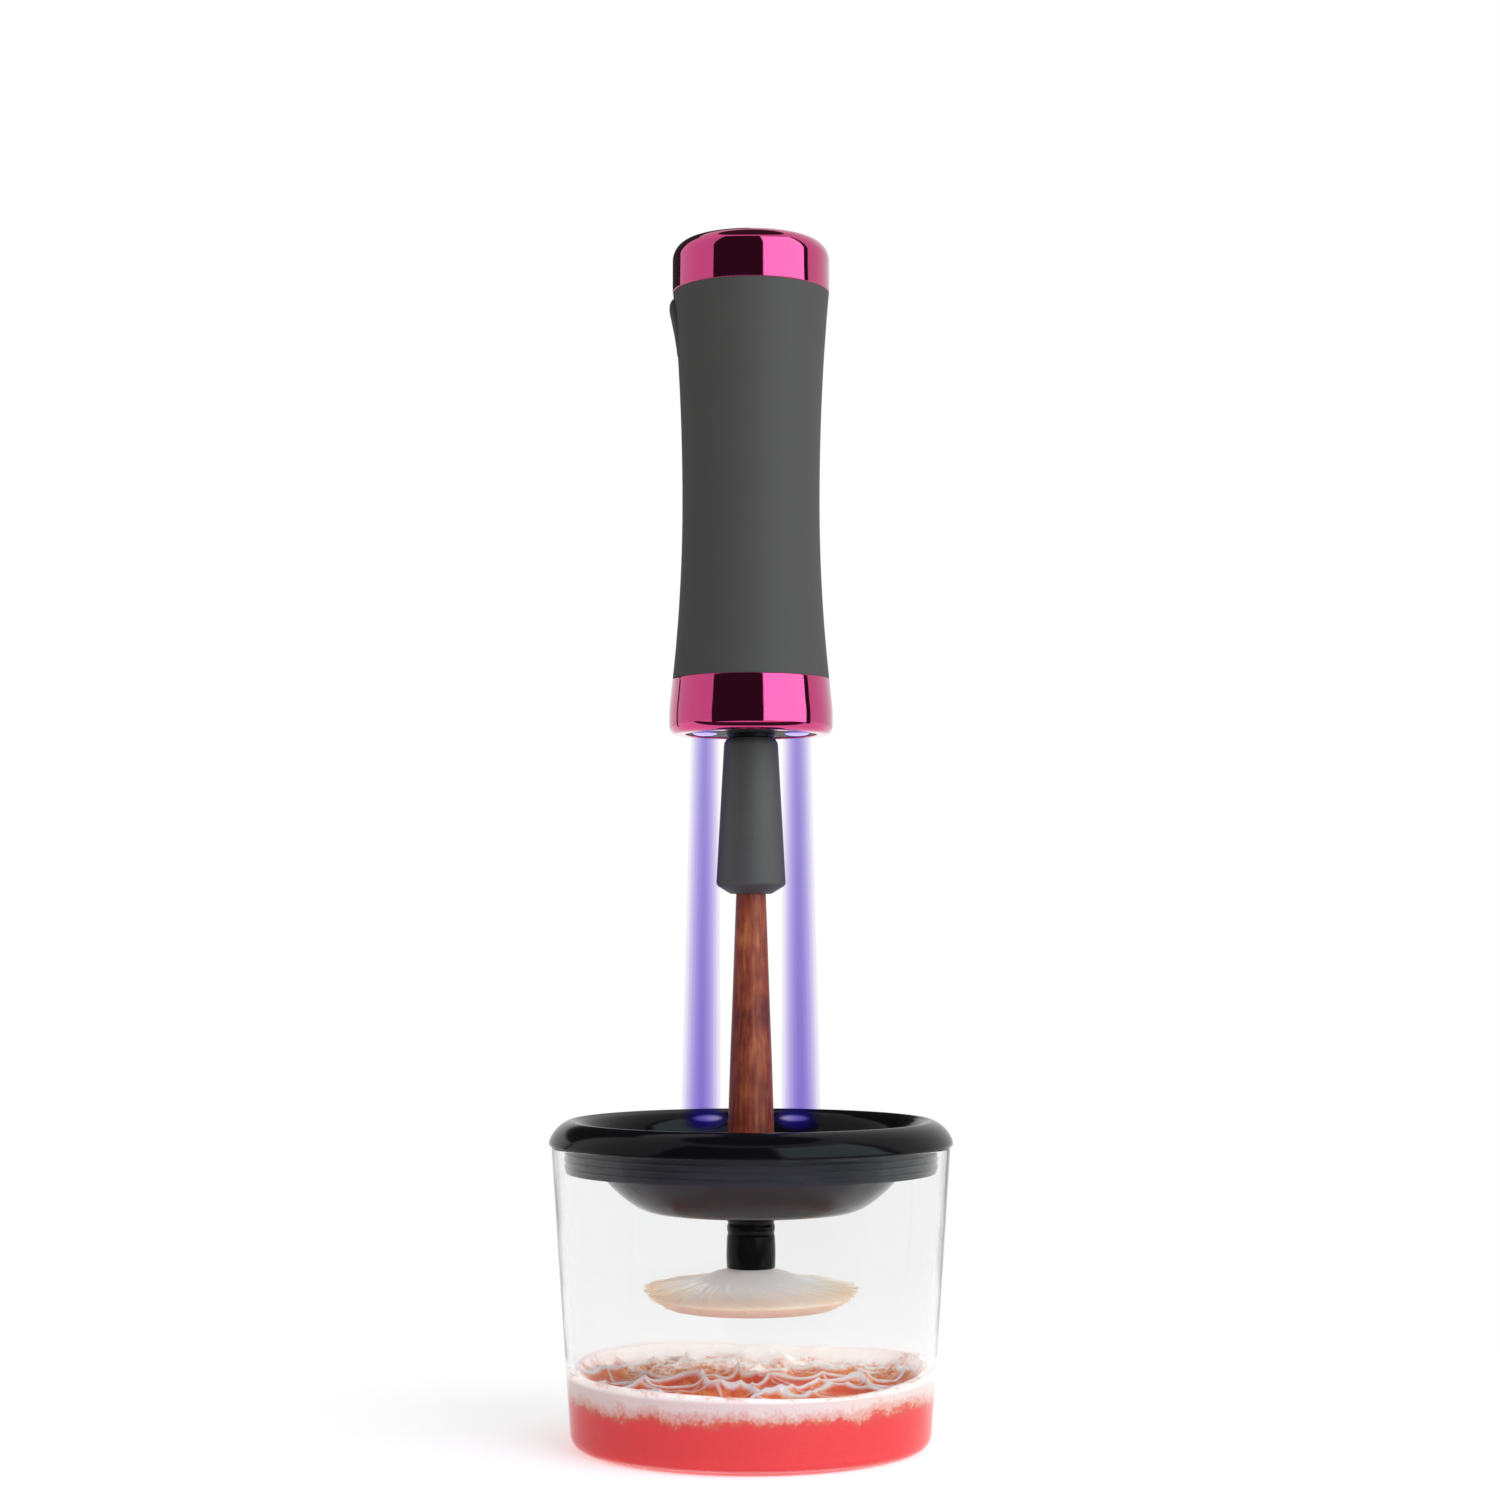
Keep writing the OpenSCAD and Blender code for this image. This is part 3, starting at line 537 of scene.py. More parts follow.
# Thin fibres let light through from behind, which a small glow of their own stands in for
FIBRE_GLOW = 0.14
fibre_shader = add_node(
    tree,
    "BsdfPrincipled",
    {"Base Color": shade.outputs[2], "Roughness": 0.38, "Subsurface Weight": 0.3, "Subsurface Scale": 0.003}
    | {"Emission Color": dye_and_root_shade, "Emission Strength": FIBRE_GLOW},
)
tree.links.new(fibre_shader.outputs[0], output.inputs[0])

# %% [markdown]
# ## The bowl
#
# A straight-sided cup with a slight taper, so that it leaves its mould. It stands on a low
# foot ring, and its wall and floor have an even thickness. One closed profile makes the
# outside, the rim and the inside in one go, which a glass shader needs: light has to enter
# the wall on one side and leave it on the other.

# %% Bowl
def span(node):
    """A CAD node's lowest and highest corner in millimetres."""
    return tuple(np.array(corner) * 1000 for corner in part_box(node))


rim_r, rim_z = span("bowl")[1][[0, 2]]
WALL, FLOOR, BASE_R, FOOT_R = 1.8, 2.4, 44.6, 37.0
bowl_outline = rounded(
    [
        (0, 0.8), (FOOT_R - 1, 0.8, 0.5), (FOOT_R, 0, 0.4), (BASE_R, 0, 3.6), (rim_r, rim_z, 0.6),
        (rim_r - WALL, rim_z, 0.6), (BASE_R - WALL, FLOOR, 3.6), (0, FLOOR),
    ],
    8,
)  # fmt: skip
bowl = mesh_piece("bowl_shell", *turned(bowl_outline, 256))
dress(bowl, clear_bowl, "bowl", "bowl")

# %% [markdown]
# ## The splash guard
#
# A gloss black dish with a hole in its middle. Its flange bulges down onto the bowl's rim,
# and a ribbed skirt under it grips inside the wall. Seen from above it is a concave dish,
# and from below a bulging one. The ribs belong to the profile, since they run all round.

# %% Splash guard
def arc(centre, radius, first, last, count):
    """Points at centre + radius (cos a, sin a), with a from first to last in degrees."""
    a = np.radians(np.linspace(first, last, count))
    return list(zip(centre[0] + radius * np.cos(a), centre[1] + radius * np.sin(a)))


guard_low, guard_high = span("splash_guard")
guard_edge, crest_z, hole_r = guard_high[0], guard_high[2], 25.5
SKIRT_R, SKIRT_H, SKIRT_WALL, RIB, RIB_PITCH = 46.4, 6.6, 1.8, 0.25, 1.7
dish_centre, dish_r, dish_wall = (hole_r - 13.6, crest_z + 5.9), 32.2, 2.0
# The flange's outside is an arc that runs into the crest's own small arc
BROW_X, BROW_DOWN, BROW_R, CREST_X, CREST_R = 42.56, 1.57, 8.0, 44.9, 1.4
skirt_z = rim_z - SKIRT_H
ribs = []
for i in range(3):
    z = skirt_z + 1.2 + i * RIB_PITCH
    edge_r = SKIRT_R + RIB
    ribs += [(SKIRT_R, z - 0.1), (edge_r, z + 0.1, 0.1), (edge_r, z + 0.4, 0.1), (SKIRT_R, z + 0.6)]
guard_outline = rounded(
    [(SKIRT_R - SKIRT_WALL, skirt_z, 0.4), (SKIRT_R, skirt_z, 0.4), *ribs]
    + [(SKIRT_R, rim_z, 0.2), (guard_edge, rim_z, 0.3), (guard_edge, rim_z + 0.8, 0.4)]
    + arc((BROW_X, rim_z - BROW_DOWN), BROW_R, 20, 69.2, 12)
    + arc((CREST_X, crest_z - CREST_R), CREST_R, 74, 120, 6)
    + [(42.4, crest_z - 1, 1.2)]
    + arc(dish_centre, dish_r - dish_wall, -17, -62.5, 28)
    + arc((hole_r + 0.9, crest_z - 21.6), 0.9, 160, 290, 8)
    + arc(dish_centre, dish_r, -59, -24, 28)
    + [(SKIRT_R - SKIRT_WALL - 0.3, rim_z - 2, 0.8), (SKIRT_R - SKIRT_WALL, rim_z - 2.8)]
)
guard = mesh_piece("splash_guard_dish", *turned(guard_outline, 256))

# A painted sheen: below the rim the black is painted a paler grey, for the sheen that shows there
tree = gloss_black.node_tree
polish = next(node for node in tree.nodes if node.type == "BSDF_PRINCIPLED")
height = add_node(tree, "SeparateXYZ", {0: add_node(tree, "TexCoord").outputs["Object"]}).outputs["Z"]
below_rim_sheen = add_node(
    tree, "MapRange", {"Value": height, "From Min": rim_z * MM, "From Max": (rim_z - 0.8) * MM}
)
painted_sheen_colour = add_node(
    tree,
    "Mix",
    {0: below_rim_sheen, 6: polish.inputs["Base Color"].links[0].from_socket, 7: linear("#37373a")},
    data_type="RGBA",
)
tree.links.new(painted_sheen_colour.outputs[2], polish.inputs["Base Color"])
dress(guard, gloss_black, "guard", "splash_guard")

# %% [markdown]
# ## The handle's trim
#
# A cap and a ring close the handle's ends. Both are pushed into the casing by a spigot, so
# only their outside shows. Their highlights give the shape away at once, so their corners
# are true curves: a quarter ellipse on the cap, and an eased lower edge on the ring.

# %% Top cap and bottom ring
cap_low, cap_high = span("top_cap")
cap_r, top_z = cap_high[0], cap_high[2]
CAP_H, SPIGOT_H, RISE, TRIM_WALL = 13.2, 5.0, 0.3, 2.0
SPIGOT_OUT, SPIGOT_IN = 16.3, 15.4
CAP_CORNER = (4.6, 4.8)
cap_z = top_z - CAP_H
corner_angle = np.radians(np.linspace(0, 90, 25))
corner_r = cap_r - CAP_CORNER[0] + CAP_CORNER[0] * np.cos(corner_angle)
corner_z = top_z - RISE - CAP_CORNER[1] + CAP_CORNER[1] * np.sin(corner_angle)
roof_r = np.linspace(cap_r - CAP_CORNER[0], 0, 12)[1:]
roof_z = top_z - RISE * (roof_r / roof_r[0]) ** 2 * 0.98
cap_outline = np.concatenate(
    [
        rounded(
            [
                (0, top_z - 2.5), (cap_r - 6, top_z - 2.5, 2), (cap_r - TRIM_WALL, cap_z + 7, 2),
                (cap_r - TRIM_WALL, cap_z + TRIM_WALL), (SPIGOT_IN, cap_z + TRIM_WALL),
                (SPIGOT_IN, cap_z - SPIGOT_H), (SPIGOT_OUT, cap_z - SPIGOT_H), (SPIGOT_OUT, cap_z),
                (cap_r, cap_z, 0.3), (cap_r, cap_z + 4),
            ]
        ),
        np.stack([corner_r, corner_z], -1),
        np.stack([roof_r, roof_z], -1),
    ]
)  # fmt: skip


def notch_for_button(points, angle):
    """Lifts the spigot's lower edge clear of the button, within 22 degrees of -X."""
    near = np.abs(angle - np.pi) < math.radians(22)
    low = points[..., 2] < cap_z - 0.01
    points[..., 2] = np.where(low & near, cap_z - 0.01, points[..., 2])
    return points


cap = mesh_piece("top_cap_shell", *turned(cap_outline, 256, notch_for_button))
dress(cap, pink_metal, "handle", "top_cap")

ring_low, ring_high = span("bottom_ring")
nose_z, ring_r = ring_low[2], ring_high[0]
RING_H, CASING_END_R = 14.0, 19.65
casing_z = nose_z + RING_H
ring_outline = rounded(
    [
        (16.5, nose_z + 3.4), (16.5, nose_z, 0.3), (ring_r, nose_z, 3.9), (ring_r, nose_z + 6, 1.5),
        (ring_r - 0.4, nose_z + 10, 2), (CASING_END_R + 0.05, casing_z, 0.3), (17.1, casing_z),
        (17.1, casing_z + 8), (15.5, casing_z + 8), (15.5, nose_z + 3.4),
    ],
    10,
)  # fmt: skip
ring = mesh_piece("bottom_ring_shell", *turned(ring_outline, 256))
dress(ring, pink_metal, "handle", "bottom_ring")

# %% [markdown]
# ## The power button and the charging flap
#
# Both are pads that follow the casing's round side, so one function makes them. Its outline
# is a superellipse, |y/a|^n + |z/b|^n = 1: n near 2.6 gives the button's soft oval, and n
# near 8 a rectangle with round corners for the flap. The button's face is a wedge that is
# proudest near its top, where a thumb finds it.

# %% Button and flap
CASING_WAIST_R, WAIST_UP = 17.25, 44.0
waist_z = casing_z + WAIST_UP


def casing_r(z):
    """The hourglass: a parabola each way from the waist to the casing's two ends."""
    reach = np.where(z < waist_z, WAIST_UP, cap_z - waist_z)
    return CASING_WAIST_R + (CASING_END_R - CASING_WAIST_R) * ((z - waist_z) / reach) ** 2


def pad(size, squareness, outline, place, outward):
    """A closed shell over a superellipse. A ring of the outline at share s of the half size
    goes round y = a s c(t), z = b s d(t), with c and d the powers 2/n of cos t and sin t.
    outward gives each point's distance from the handle's middle plane, from y, z and the
    outline's depth, and place turns (outward, y, z) into x, y, z."""

    def mould(points, angle):
        share = np.hypot(points[..., 0], points[..., 1])
        c, d = (np.sign(f) * np.abs(f) ** (2 / squareness) for f in (np.sin(angle), np.cos(angle)))
        side, up = size[0] / 2 * share * c, size[1] / 2 * share * d
        return place(outward(side, up, points[..., 2]), side, up)

    return turned(rounded(outline), 96, mould)


def on_left(middle_z):
    return lambda out, side, up: np.stack([-out, side, middle_z + up], -1)


def on_back(middle_z):
    return lambda out, side, up: np.stack([side, out, middle_z + up], -1)


button_low, button_high = span("power_button")
button_z = (button_low[2] + button_high[2]) / 2
BUTTON_SIZE, BUTTON_FOOT, FLANGE_T = (8.5, 15.0), 15.4, 1.0
# How proud the wedge stands: pairs of a height along the button and a thickness
WEDGE = (
    (-7.6, 0.1), (-5.0, 0.24), (-2.0, 0.5), (1.5, 0.95), (3.6, 1.24), (4.6, 1.3), (5.6, 1.16),
    (7.6, 0.35),
)  # fmt: skip


def button_face(side, up, depth):
    """The skin's radius plus the wedge at the outline's full depth, down to the flat foot."""
    proud = np.interp(up, *np.transpose(WEDGE))
    skin = np.sqrt((casing_r(button_z + up) + proud) ** 2 - side**2)
    return BUTTON_FOOT + (skin - BUTTON_FOOT) * depth


shares = np.linspace(0.86, 0, 14)
face_outline = [(0, 0), (1, 0), (1, 0.80), (0.985, 0.90), (0.95, 0.965), (0.9, 0.993)]
button_shells = joined(
    pad(BUTTON_SIZE, 2.6, face_outline + [(s, 1.0) for s in shares], on_left(button_z), button_face),
    pad((9.8, 16.6), 6, [(0, 0), (1, 0), (1, 1), (0, 1)], on_left(button_z),
        lambda side, up, depth: BUTTON_FOOT - FLANGE_T + (FLANGE_T - 0.01) * depth),
    pad((3.2, 3.2), 2, [(0, 0), (1, 0), (1, 1), (0, 1)], on_left(button_z),
        lambda side, up, depth: 8.2 + (BUTTON_FOOT - FLANGE_T - 8.2) * depth),
)  # fmt: skip
button = mesh_piece("power_button_wedge", *button_shells)
dress(button, soft_touch, "button", "power_button")

flap_low, flap_high = span("port_cover")
port_z = (flap_low[2] + flap_high[2]) / 2
FLAP_T, PLUG = 0.75, (5.8, 9.8, 14.9)


def flap_face(side, up, depth):
    """The skin's radius, from the flap's thickness under it to just over it. Near the top
    the face stands a little prouder, as a lip for a fingernail."""
    over = 0.15 + 0.35 * np.clip((up - 4.6) / 1.2, 0, 1)
    return np.sqrt((casing_r(port_z + up) - FLAP_T + (FLAP_T + over) * depth) ** 2 - side**2)


flap_shells = joined(
    pad(
        (flap_high[0] - flap_low[0], flap_high[2] - flap_low[2]), 8,
        [(0, 0), (1, 0), (1, 0.7), (0.99, 0.88), (0.96, 0.98)] + [(s, 1.0) for s in shares],
        on_back(port_z), flap_face,
    ),
    pad(PLUG[:2], 5, [(0, 0), (1, 0), (1, 1), (0, 1)], on_back(port_z),
        lambda side, up, depth: PLUG[2] + (17.9 - PLUG[2]) * depth),
)  # fmt: skip
flap = mesh_piece("port_flap", *flap_shells)
dress(flap, silicone, "flap", "port_cover")

# %% [markdown]
# ## The collar
#
# A silicone socket that grips the wooden handle. It widens evenly from the spindle down to
# its lip and turns in under it as a shallow cone. Four slits from the mouth let it open for
# thicker brushes. They are cut by letting the bore's radius grow wherever an angle lies
# within half a slit's width of a slit.

# %% Collar
collar_low, collar_high = span("collar")
collar_z, collar_top = collar_low[2], collar_high[2]
SOCKET_R, STUB_R, STUB_L, SLITS, SLIT_W, SLIT_R, SLIT_L = 3.9, 3.64, 16.0, 4, 0.9, 4.7, 14.0
lip_r = collar_high[0]
collar_outline = np.concatenate(
    [
        rounded(
            [
                (SOCKET_R, collar_z + 0.3), (SOCKET_R + 0.3, collar_z, 0.2), (5.1, collar_z, 0.4),
                (lip_r, collar_z + 2.2, 0.8), (6.75, collar_top - 1.2, 0.8), (5.9, collar_top, 0.2),
                (STUB_R, collar_top),
                (STUB_R, collar_top - STUB_L - 0.6), (SOCKET_R, collar_top - STUB_L - 0.6),
            ]
        ),
        [(SOCKET_R, z) for z in np.linspace(collar_z + SLIT_L, collar_z + 1, 12)],
    ]
)  # fmt: skip


def cut_slits(points, angle):
    """Pushes the bore out to the slits' depth wherever a slit crosses it."""
    turn = (angle - math.pi / 4 + math.pi / SLITS) % (2 * math.pi / SLITS) - math.pi / SLITS
    radius = np.hypot(points[..., 0], points[..., 1])
    inside = (radius < SOCKET_R + 0.4) & (points[..., 2] < collar_z + SLIT_L - 0.1)
    slit = inside & (np.abs(radius * np.sin(turn)) < SLIT_W / 2)
    stretch = np.where(slit, SLIT_R / radius, 1.0)
    points[..., :2] *= stretch[..., None]
    return points


collar = mesh_piece("collar_grip", *turned(collar_outline, 288, cut_slits))
dress(collar, silicone, "collar", "collar")

# %% [markdown]
# ## The make-up brush: stick and ferrule
#
# The stick is turned: thickest at the ferrule, thinning evenly into the collar, with a
# domed end. The ferrule is drawn metal tube, lacquered black and crimped twice to hold the
# bristles, so its outline has two shallow grooves.

# %% Stick and ferrule
ferrule_z, ferrule_top = span("brush_ferrule")[0][2], span("brush_ferrule")[1][2]
wood_top = span("brush_handle")[1][2]
TENON_R, TIP_R = 4.9, 3.1
stick_knots = [
    (5.95, ferrule_top + 0.2), (5.75, ferrule_top + 11), (5.25, ferrule_top + 28),
    (4.65, ferrule_top + 44), (3.72, collar_z), (TIP_R, wood_top - 1.8),
]  # fmt: skip
dome = np.radians(np.linspace(0, 90, 10))
stick_outline = np.concatenate(
    [
        [(0, ferrule_top - 10), (TENON_R, ferrule_top - 10), (TENON_R, ferrule_top), (5.8, ferrule_top)],
        eased(stick_knots, 60),
        np.stack([TIP_R * np.cos(dome), wood_top - 1.6 + 1.6 * np.sin(dome)], -1),
    ]
)
stick_outline[-1, 0] = 0
stick = mesh_piece("brush_stick", *turned(stick_outline, 96))
dress(stick, stained_wood, "brush", "brush_handle")

CRIMPS = (ferrule_z + 8.5, ferrule_z + 11)
crimps = []
for z in CRIMPS:
    crimps += [(5.98, z - 0.7, 0.3), (5.7, z, 0.4), (5.98, z + 0.7, 0.3)]
ferrule_outline = rounded(
    [(5.3, ferrule_z), (6.05, ferrule_z, 0.3), (6.15, ferrule_z + 4, 1.5), *crimps]
    + [(5.9, ferrule_z + 15, 1), (6.05, ferrule_top, 0.3), (TENON_R, ferrule_top)]
    + [(TENON_R, ferrule_top - 10.2), (5.3, ferrule_top - 11)]
)
ferrule = mesh_piece("brush_ferrule_tube", *turned(ferrule_outline, 128))
lacquered_tube = moulded(
    "black_lacquered_aluminium", ("#050506", "#0a0a0c"), 12, (0.14, 0.2), 4, 0.008, Specular_IOR_Level=0.12
)
dress(ferrule, lacquered_tube, "brush", "brush_ferrule")

# %% [markdown]
# ## The bristles
#
# Spun, the bristles fan out into a disc. Each strand is a thin three-sided tube along a
# cubic curve: it leaves the ferrule downwards, bends outwards, and ends on the disc's edge
# or its flat underside. The spin drags the tips behind, so the strands also swirl. A plain
# core under them stops light from passing between. Every random draw comes from one seed.

# %% Bristles
tips_z, disc_r = span("brush_bristles")[0][2], span("brush_bristles")[1][0]
draw = np.random.default_rng(7)
STRANDS, STEPS, SIDES, STRAND_R = 2500, 11, 3, 0.13
layer = draw.random(STRANDS) ** 1.3
around_axis = draw.random(STRANDS) * 2 * np.pi
swirl = np.radians(draw.normal(26, 7, STRANDS))
edge_share = np.clip(layer / 0.45, 0, 1)
under_share = np.clip((layer - 0.45) / 0.55, 0, 1)
tip_r = disc_r - 0.3 - 5.6 * edge_share**2 - 17.6 * under_share - draw.random(STRANDS) * 1.2
tip_z = tips_z + 4.9 * (1 - edge_share) + 0.15 + draw.random(STRANDS) * 0.5
root_r = 5.0 * (1 - 0.9 * layer)
knot = np.stack(
    [
        [root_r, np.full(STRANDS, ferrule_z + 0.6)],
        [root_r + 0.5 * (1 - layer), ferrule_z - 1.8 - 3.5 * layer],
        [root_r + (tip_r - root_r) * 0.38, tips_z + 7.0 - 4.6 * layer],
        [tip_r, tip_z],
    ]
)
t = np.linspace(0, 1, STEPS)[:, None]
weights = np.stack([(1 - t) ** 3, 3 * t * (1 - t) ** 2, 3 * t**2 * (1 - t), t**3])
path_r = (weights * knot[:, 0][:, None]).sum(0)
path_z = (weights * knot[:, 1][:, None]).sum(0)
path_a = around_axis + swirl * (path_r / disc_r) ** 1.5
path = np.stack([path_r * np.cos(path_a), path_r * np.sin(path_a), path_z], -1)
forward = np.gradient(path, axis=0)
forward /= np.linalg.norm(forward, axis=-1, keepdims=True)
across = np.cross(forward, [0, 0, 1.0])
across /= np.maximum(np.linalg.norm(across, axis=-1, keepdims=True), 1e-9)
above = np.cross(across, forward)
phase = (np.arange(SIDES) / SIDES * 2 * np.pi)[:, None, None, None]
taper = (STRAND_R * (1 - 0.65 * t**3))[..., None]
tube = path + taper * (np.cos(phase) * across + np.sin(phase) * above)
strand_points = tube.transpose(2, 1, 0, 3).reshape(-1, 3)
s, i, j = np.meshgrid(np.arange(STRANDS), np.arange(STEPS - 1), np.arange(SIDES), indexing="ij")
first = (s * STEPS + i) * SIDES
strand_faces = np.stack(
    [first + j, first + SIDES + j, first + SIDES + (j + 1) % SIDES, first + (j + 1) % SIDES], -1
).reshape(-1, 4)
core_outline = rounded(
    [
        (0, tips_z + 0.6), (disc_r - 6.4, tips_z + 0.6), (disc_r - 2, tips_z + 3.2, 1),
        (disc_r - 3.4, tips_z + 4.4, 1), (20, tips_z + 5.6), (13, tips_z + 7.3), (9, tips_z + 8.9),
        (5.6, ferrule_z - 0.3, 0.3), (5.2, ferrule_z + 6), (0, ferrule_z + 6),
    ]
)  # fmt: skip
core_points, core_faces = turned(core_outline, 96)
bristle_points, bristle_faces = joined((strand_points, strand_faces.tolist()), (core_points, core_faces))
bristles = mesh_piece("brush_fan", bristle_points, bristle_faces, 80)
along_strand = np.repeat(np.tile(np.linspace(0, 1, STEPS), STRANDS), SIDES)
own_number = np.repeat(draw.random(STRANDS), STEPS * SIDES)
core_reach = np.hypot(core_points[:, 0], core_points[:, 1]) / disc_r
maps = np.stack(
    [
        np.concatenate([own_number, np.full(len(core_points), 0.3)]),
        np.concatenate([along_strand, np.clip(core_reach, 0, 1)]),
    ],
    -1,
)
corner_of = np.zeros(len(bristles.data.loops), np.int32)
bristles.data.loops.foreach_get("vertex_index", corner_of)
strand_map = bristles.data.uv_layers.new(name="strand")
strand_map.data.foreach_set("uv", maps[corner_of].astype(np.float32).ravel())
dress(bristles, bristle_dye, "brush", "brush_bristles")

# %% [markdown]
# ## The carried-over CAD pieces
#
# The casing and everything inside the handle keep their CAD meshes, because their shapes are
# right as they are. Each gets the finish of what it is made of.

# %% Finishes for the CAD nodes
circuit_green = moulded("fibreglass_circuit_board", ("#14512c", "#1d6a3a"), 4, (0.28, 0.4), 0.8, 0.02)
copper_armature = moulded(
    "varnished_copper_windings", ("#8a4a20", "#b06a38"), 1.2, (0.3, 0.45), 0.5, 0.05, Metallic=0.9
)
black_steel = moulded("blackened_steel", ("#1b1b1d", "#262628"), 3, (0.3, 0.42), 0.6, 0.008, Metallic=0.8)
finishes = {
    soft_touch: ("outer_casing",),
    nose_black: ("nose_plate",),
    natural_abs: ("chassis_front", "chassis_rear", "tact_switch"),
    zinc_steel: (
        "chassis_screws", "nose_screws", "motor_mount", "motor_screws", "motor_can", "motor_shaft",
        "battery_tabs", "usb_socket",
    ),
    ferrite: ("motor_magnets",),
    nylon: ("motor_endbell", "drive_coupling", "switch_plunger"),
    brass: ("motor_terminals",),
    bearing_bronze: ("spindle_bearing",),
    seal_rubber: ("shaft_seal",),
    cell_sleeve: ("battery_cell",),
    circuit_green: ("circuit_board", "led_board"),
    epoxy_black: ("board_components",),
    emitter: ("led_emitters",),
    lens_glow: ("led_lenses",),
    lead_red: ("motor_leads",),
    lead_white: ("led_leads",),
    copper_armature: ("motor_armature",),
    black_steel: ("spindle",),
}  # fmt: skip
for finish, names in finishes.items():
    for name in names:
        nodes[name].data.materials.clear()
        nodes[name].data.materials.append(finish)
print("finished CAD nodes:", sum(len(names) for names in finishes.values()))

# %% [markdown]
# ## What is on stage with it: liquid, froth and light
#
# None of these belong to the object. The liquid is one closed
# body that reaches a little way into the bowl's wall: where a liquid wets clear plastic no
# gap shows, and its colour seems to fill the wall. Its top is a polar grid whose height is
# the level, a ring of froth that climbs the wall, and a few crossing waves left by the
# spinning brush.

# %% Liquid
LEVEL, RIM_CLIMB, WETTED = 15.2, 4.4, 1.3
# Each train of waves: heading in degrees, spacing, height and phase
TRAINS = ((84, 27, 2.6, 0.35), (108, 19, 1.6, 0.1), (62, 13, 0.9, 0.6), (20, 23, 0.6, 0.4))


def crests(x, y):
    """Sharp-topped waves: the sum of h (1 - |sin(pi s)|)^2, where s counts a train's waves
    along its heading and wanders by a slow sine across it. Also gives the sharpest crest's
    nearness, from 0 to 1, which the froth follows."""
    height, nearness = 0 * x, 0 * x
    for heading, spacing, size, phase in TRAINS:
        turn = math.radians(heading)
        along = x * math.cos(turn) + y * math.sin(turn)
        across = y * math.cos(turn) - x * math.sin(turn)
        wander = 0.35 * np.sin(across / 7 + 6 * phase) + 0.18 * np.sin(across / 3.1 + along / 9)
        sharp = 1 - np.abs(np.sin(np.pi * (along / spacing + wander + phase)))
        height = height + size * sharp**2
        nearness = np.maximum(nearness, sharp**5 * min(1, size / 1.5))
    return height, nearness


def surface_height(x, y):
    """The level, plus waves that calm down near the wall, plus a climb up the wall that is
    highest at the left and right."""
    share = np.clip(np.hypot(x, y) / (BASE_R - WALL), 0, 1)
    height = LEVEL - 1.6 + crests(x, y)[0] * (1 - share**8)
    sideways = (x / np.maximum(np.hypot(x, y), 1)) ** 2
    return height + (RIM_CLIMB + 1.6 * sideways + 0.6 * np.sin(3 * np.arctan2(y, x) + 1)) * share**14


def fill(points, angle):
    """Lifts the grid's top rows, marked by their depth of 1000, to the surface height."""
    x, y, z = points[..., 0], points[..., 1], points[..., 2]
    points[..., 2] = np.where(z > 900, surface_height(x, y), z)
    return points


def inner_wall(z):
    """Radius of the bowl's inside at a height."""
    return BASE_R - WALL + (rim_r - BASE_R) * (z - FLOOR) / (rim_z - FLOOR)


side_z = np.linspace(FLOOR + 3.4, LEVEL + RIM_CLIMB - 2.5, 12)
wet_r = inner_wall(side_z) + WETTED
low_r, low_z = BASE_R - WALL + WETTED, FLOOR - WETTED
bottom = rounded([(0, low_z), (low_r, low_z, 3.5), (wet_r[0], side_z[0])], 8)
spokes = np.linspace(1, 0, 150) ** 0.85
liquid_outline = np.concatenate(
    [bottom, np.stack([wet_r, side_z], -1)[1:], np.stack([wet_r[-1] * spokes, 0 * spokes + 1000], -1)]
)
liquid = mesh_piece("cleaning_liquid", *turned(liquid_outline, 384, fill), 70)
place = np.zeros(3 * len(liquid.data.vertices), np.float32)
liquid.data.vertices.foreach_get("co", place)
x, y, z = place.reshape(-1, 3).T / MM
on_top = np.abs(z - surface_height(x, y)) < 0.02
shares = {
    # Foam: a band under the waterline, a rim along the wall, and more of it towards the back
    "foam": np.where(
        on_top,
        0.2 + 0.6 * np.clip((np.hypot(x, y) - 38) / 5, 0, 1) + 0.65 * np.clip((y - 4) / 24, 0, 1),
        (z - 9.6) / 5.2,
    ),
    "crest": np.where(on_top, crests(x, y)[1], 0),
    "top": on_top.astype(float),
}
for name, values in shares.items():
    liquid.data.attributes.new(name, "FLOAT", "POINT").data.foreach_set("value", values.astype(np.float32))

FROTH_GLOW = 0.42
soapy, tree, output = blank_finish("soapy_red_liquid")
place = add_node(tree, "TexCoord").outputs["Object"]
foam, crest, top = (add_node(tree, "Attribute", attribute_name=name) for name in shares)
clots = add_node(tree, "TexNoise", {"Vector": place, "Scale": 1000 / 9, "Detail": 6.0, "Roughness": 0.7})
bubbles = add_node(tree, "TexVoronoi", {"Vector": place, "Scale": 1000 / 0.8, "Randomness": 1.0})
uneven = add_node(
    tree,
    "MapRange",
    {"Value": clots.outputs["Fac"], "From Min": 0.3, "From Max": 0.7, "To Min": -0.4, "To Max": 0.4},
)
foamy = add_node(tree, "Math", {0: foam.outputs["Fac"], 1: uneven}, operation="ADD")
laced = add_node(
    tree, "Math", {0: bubbles.outputs["Distance"], 1: -0.3, 2: foamy}, operation="MULTIPLY_ADD"
)
DEEP_TONES = (
    (0, "#f4474b"), (0.2, "#f05052"), (0.36, "#e87058"),
    (0.55, "#eeaea2"), (0.8, "#f2ccc6"), (1, "#f8e2de"),
)  # fmt: skip
TOP_TONES = (
    (0, "#ea5a32"), (0.2, "#f68c40"), (0.38, "#f6a468"),
    (0.55, "#f6c8b8"), (0.8, "#fbe8e2"), (1, "#fefaf8"),
)  # fmt: skip
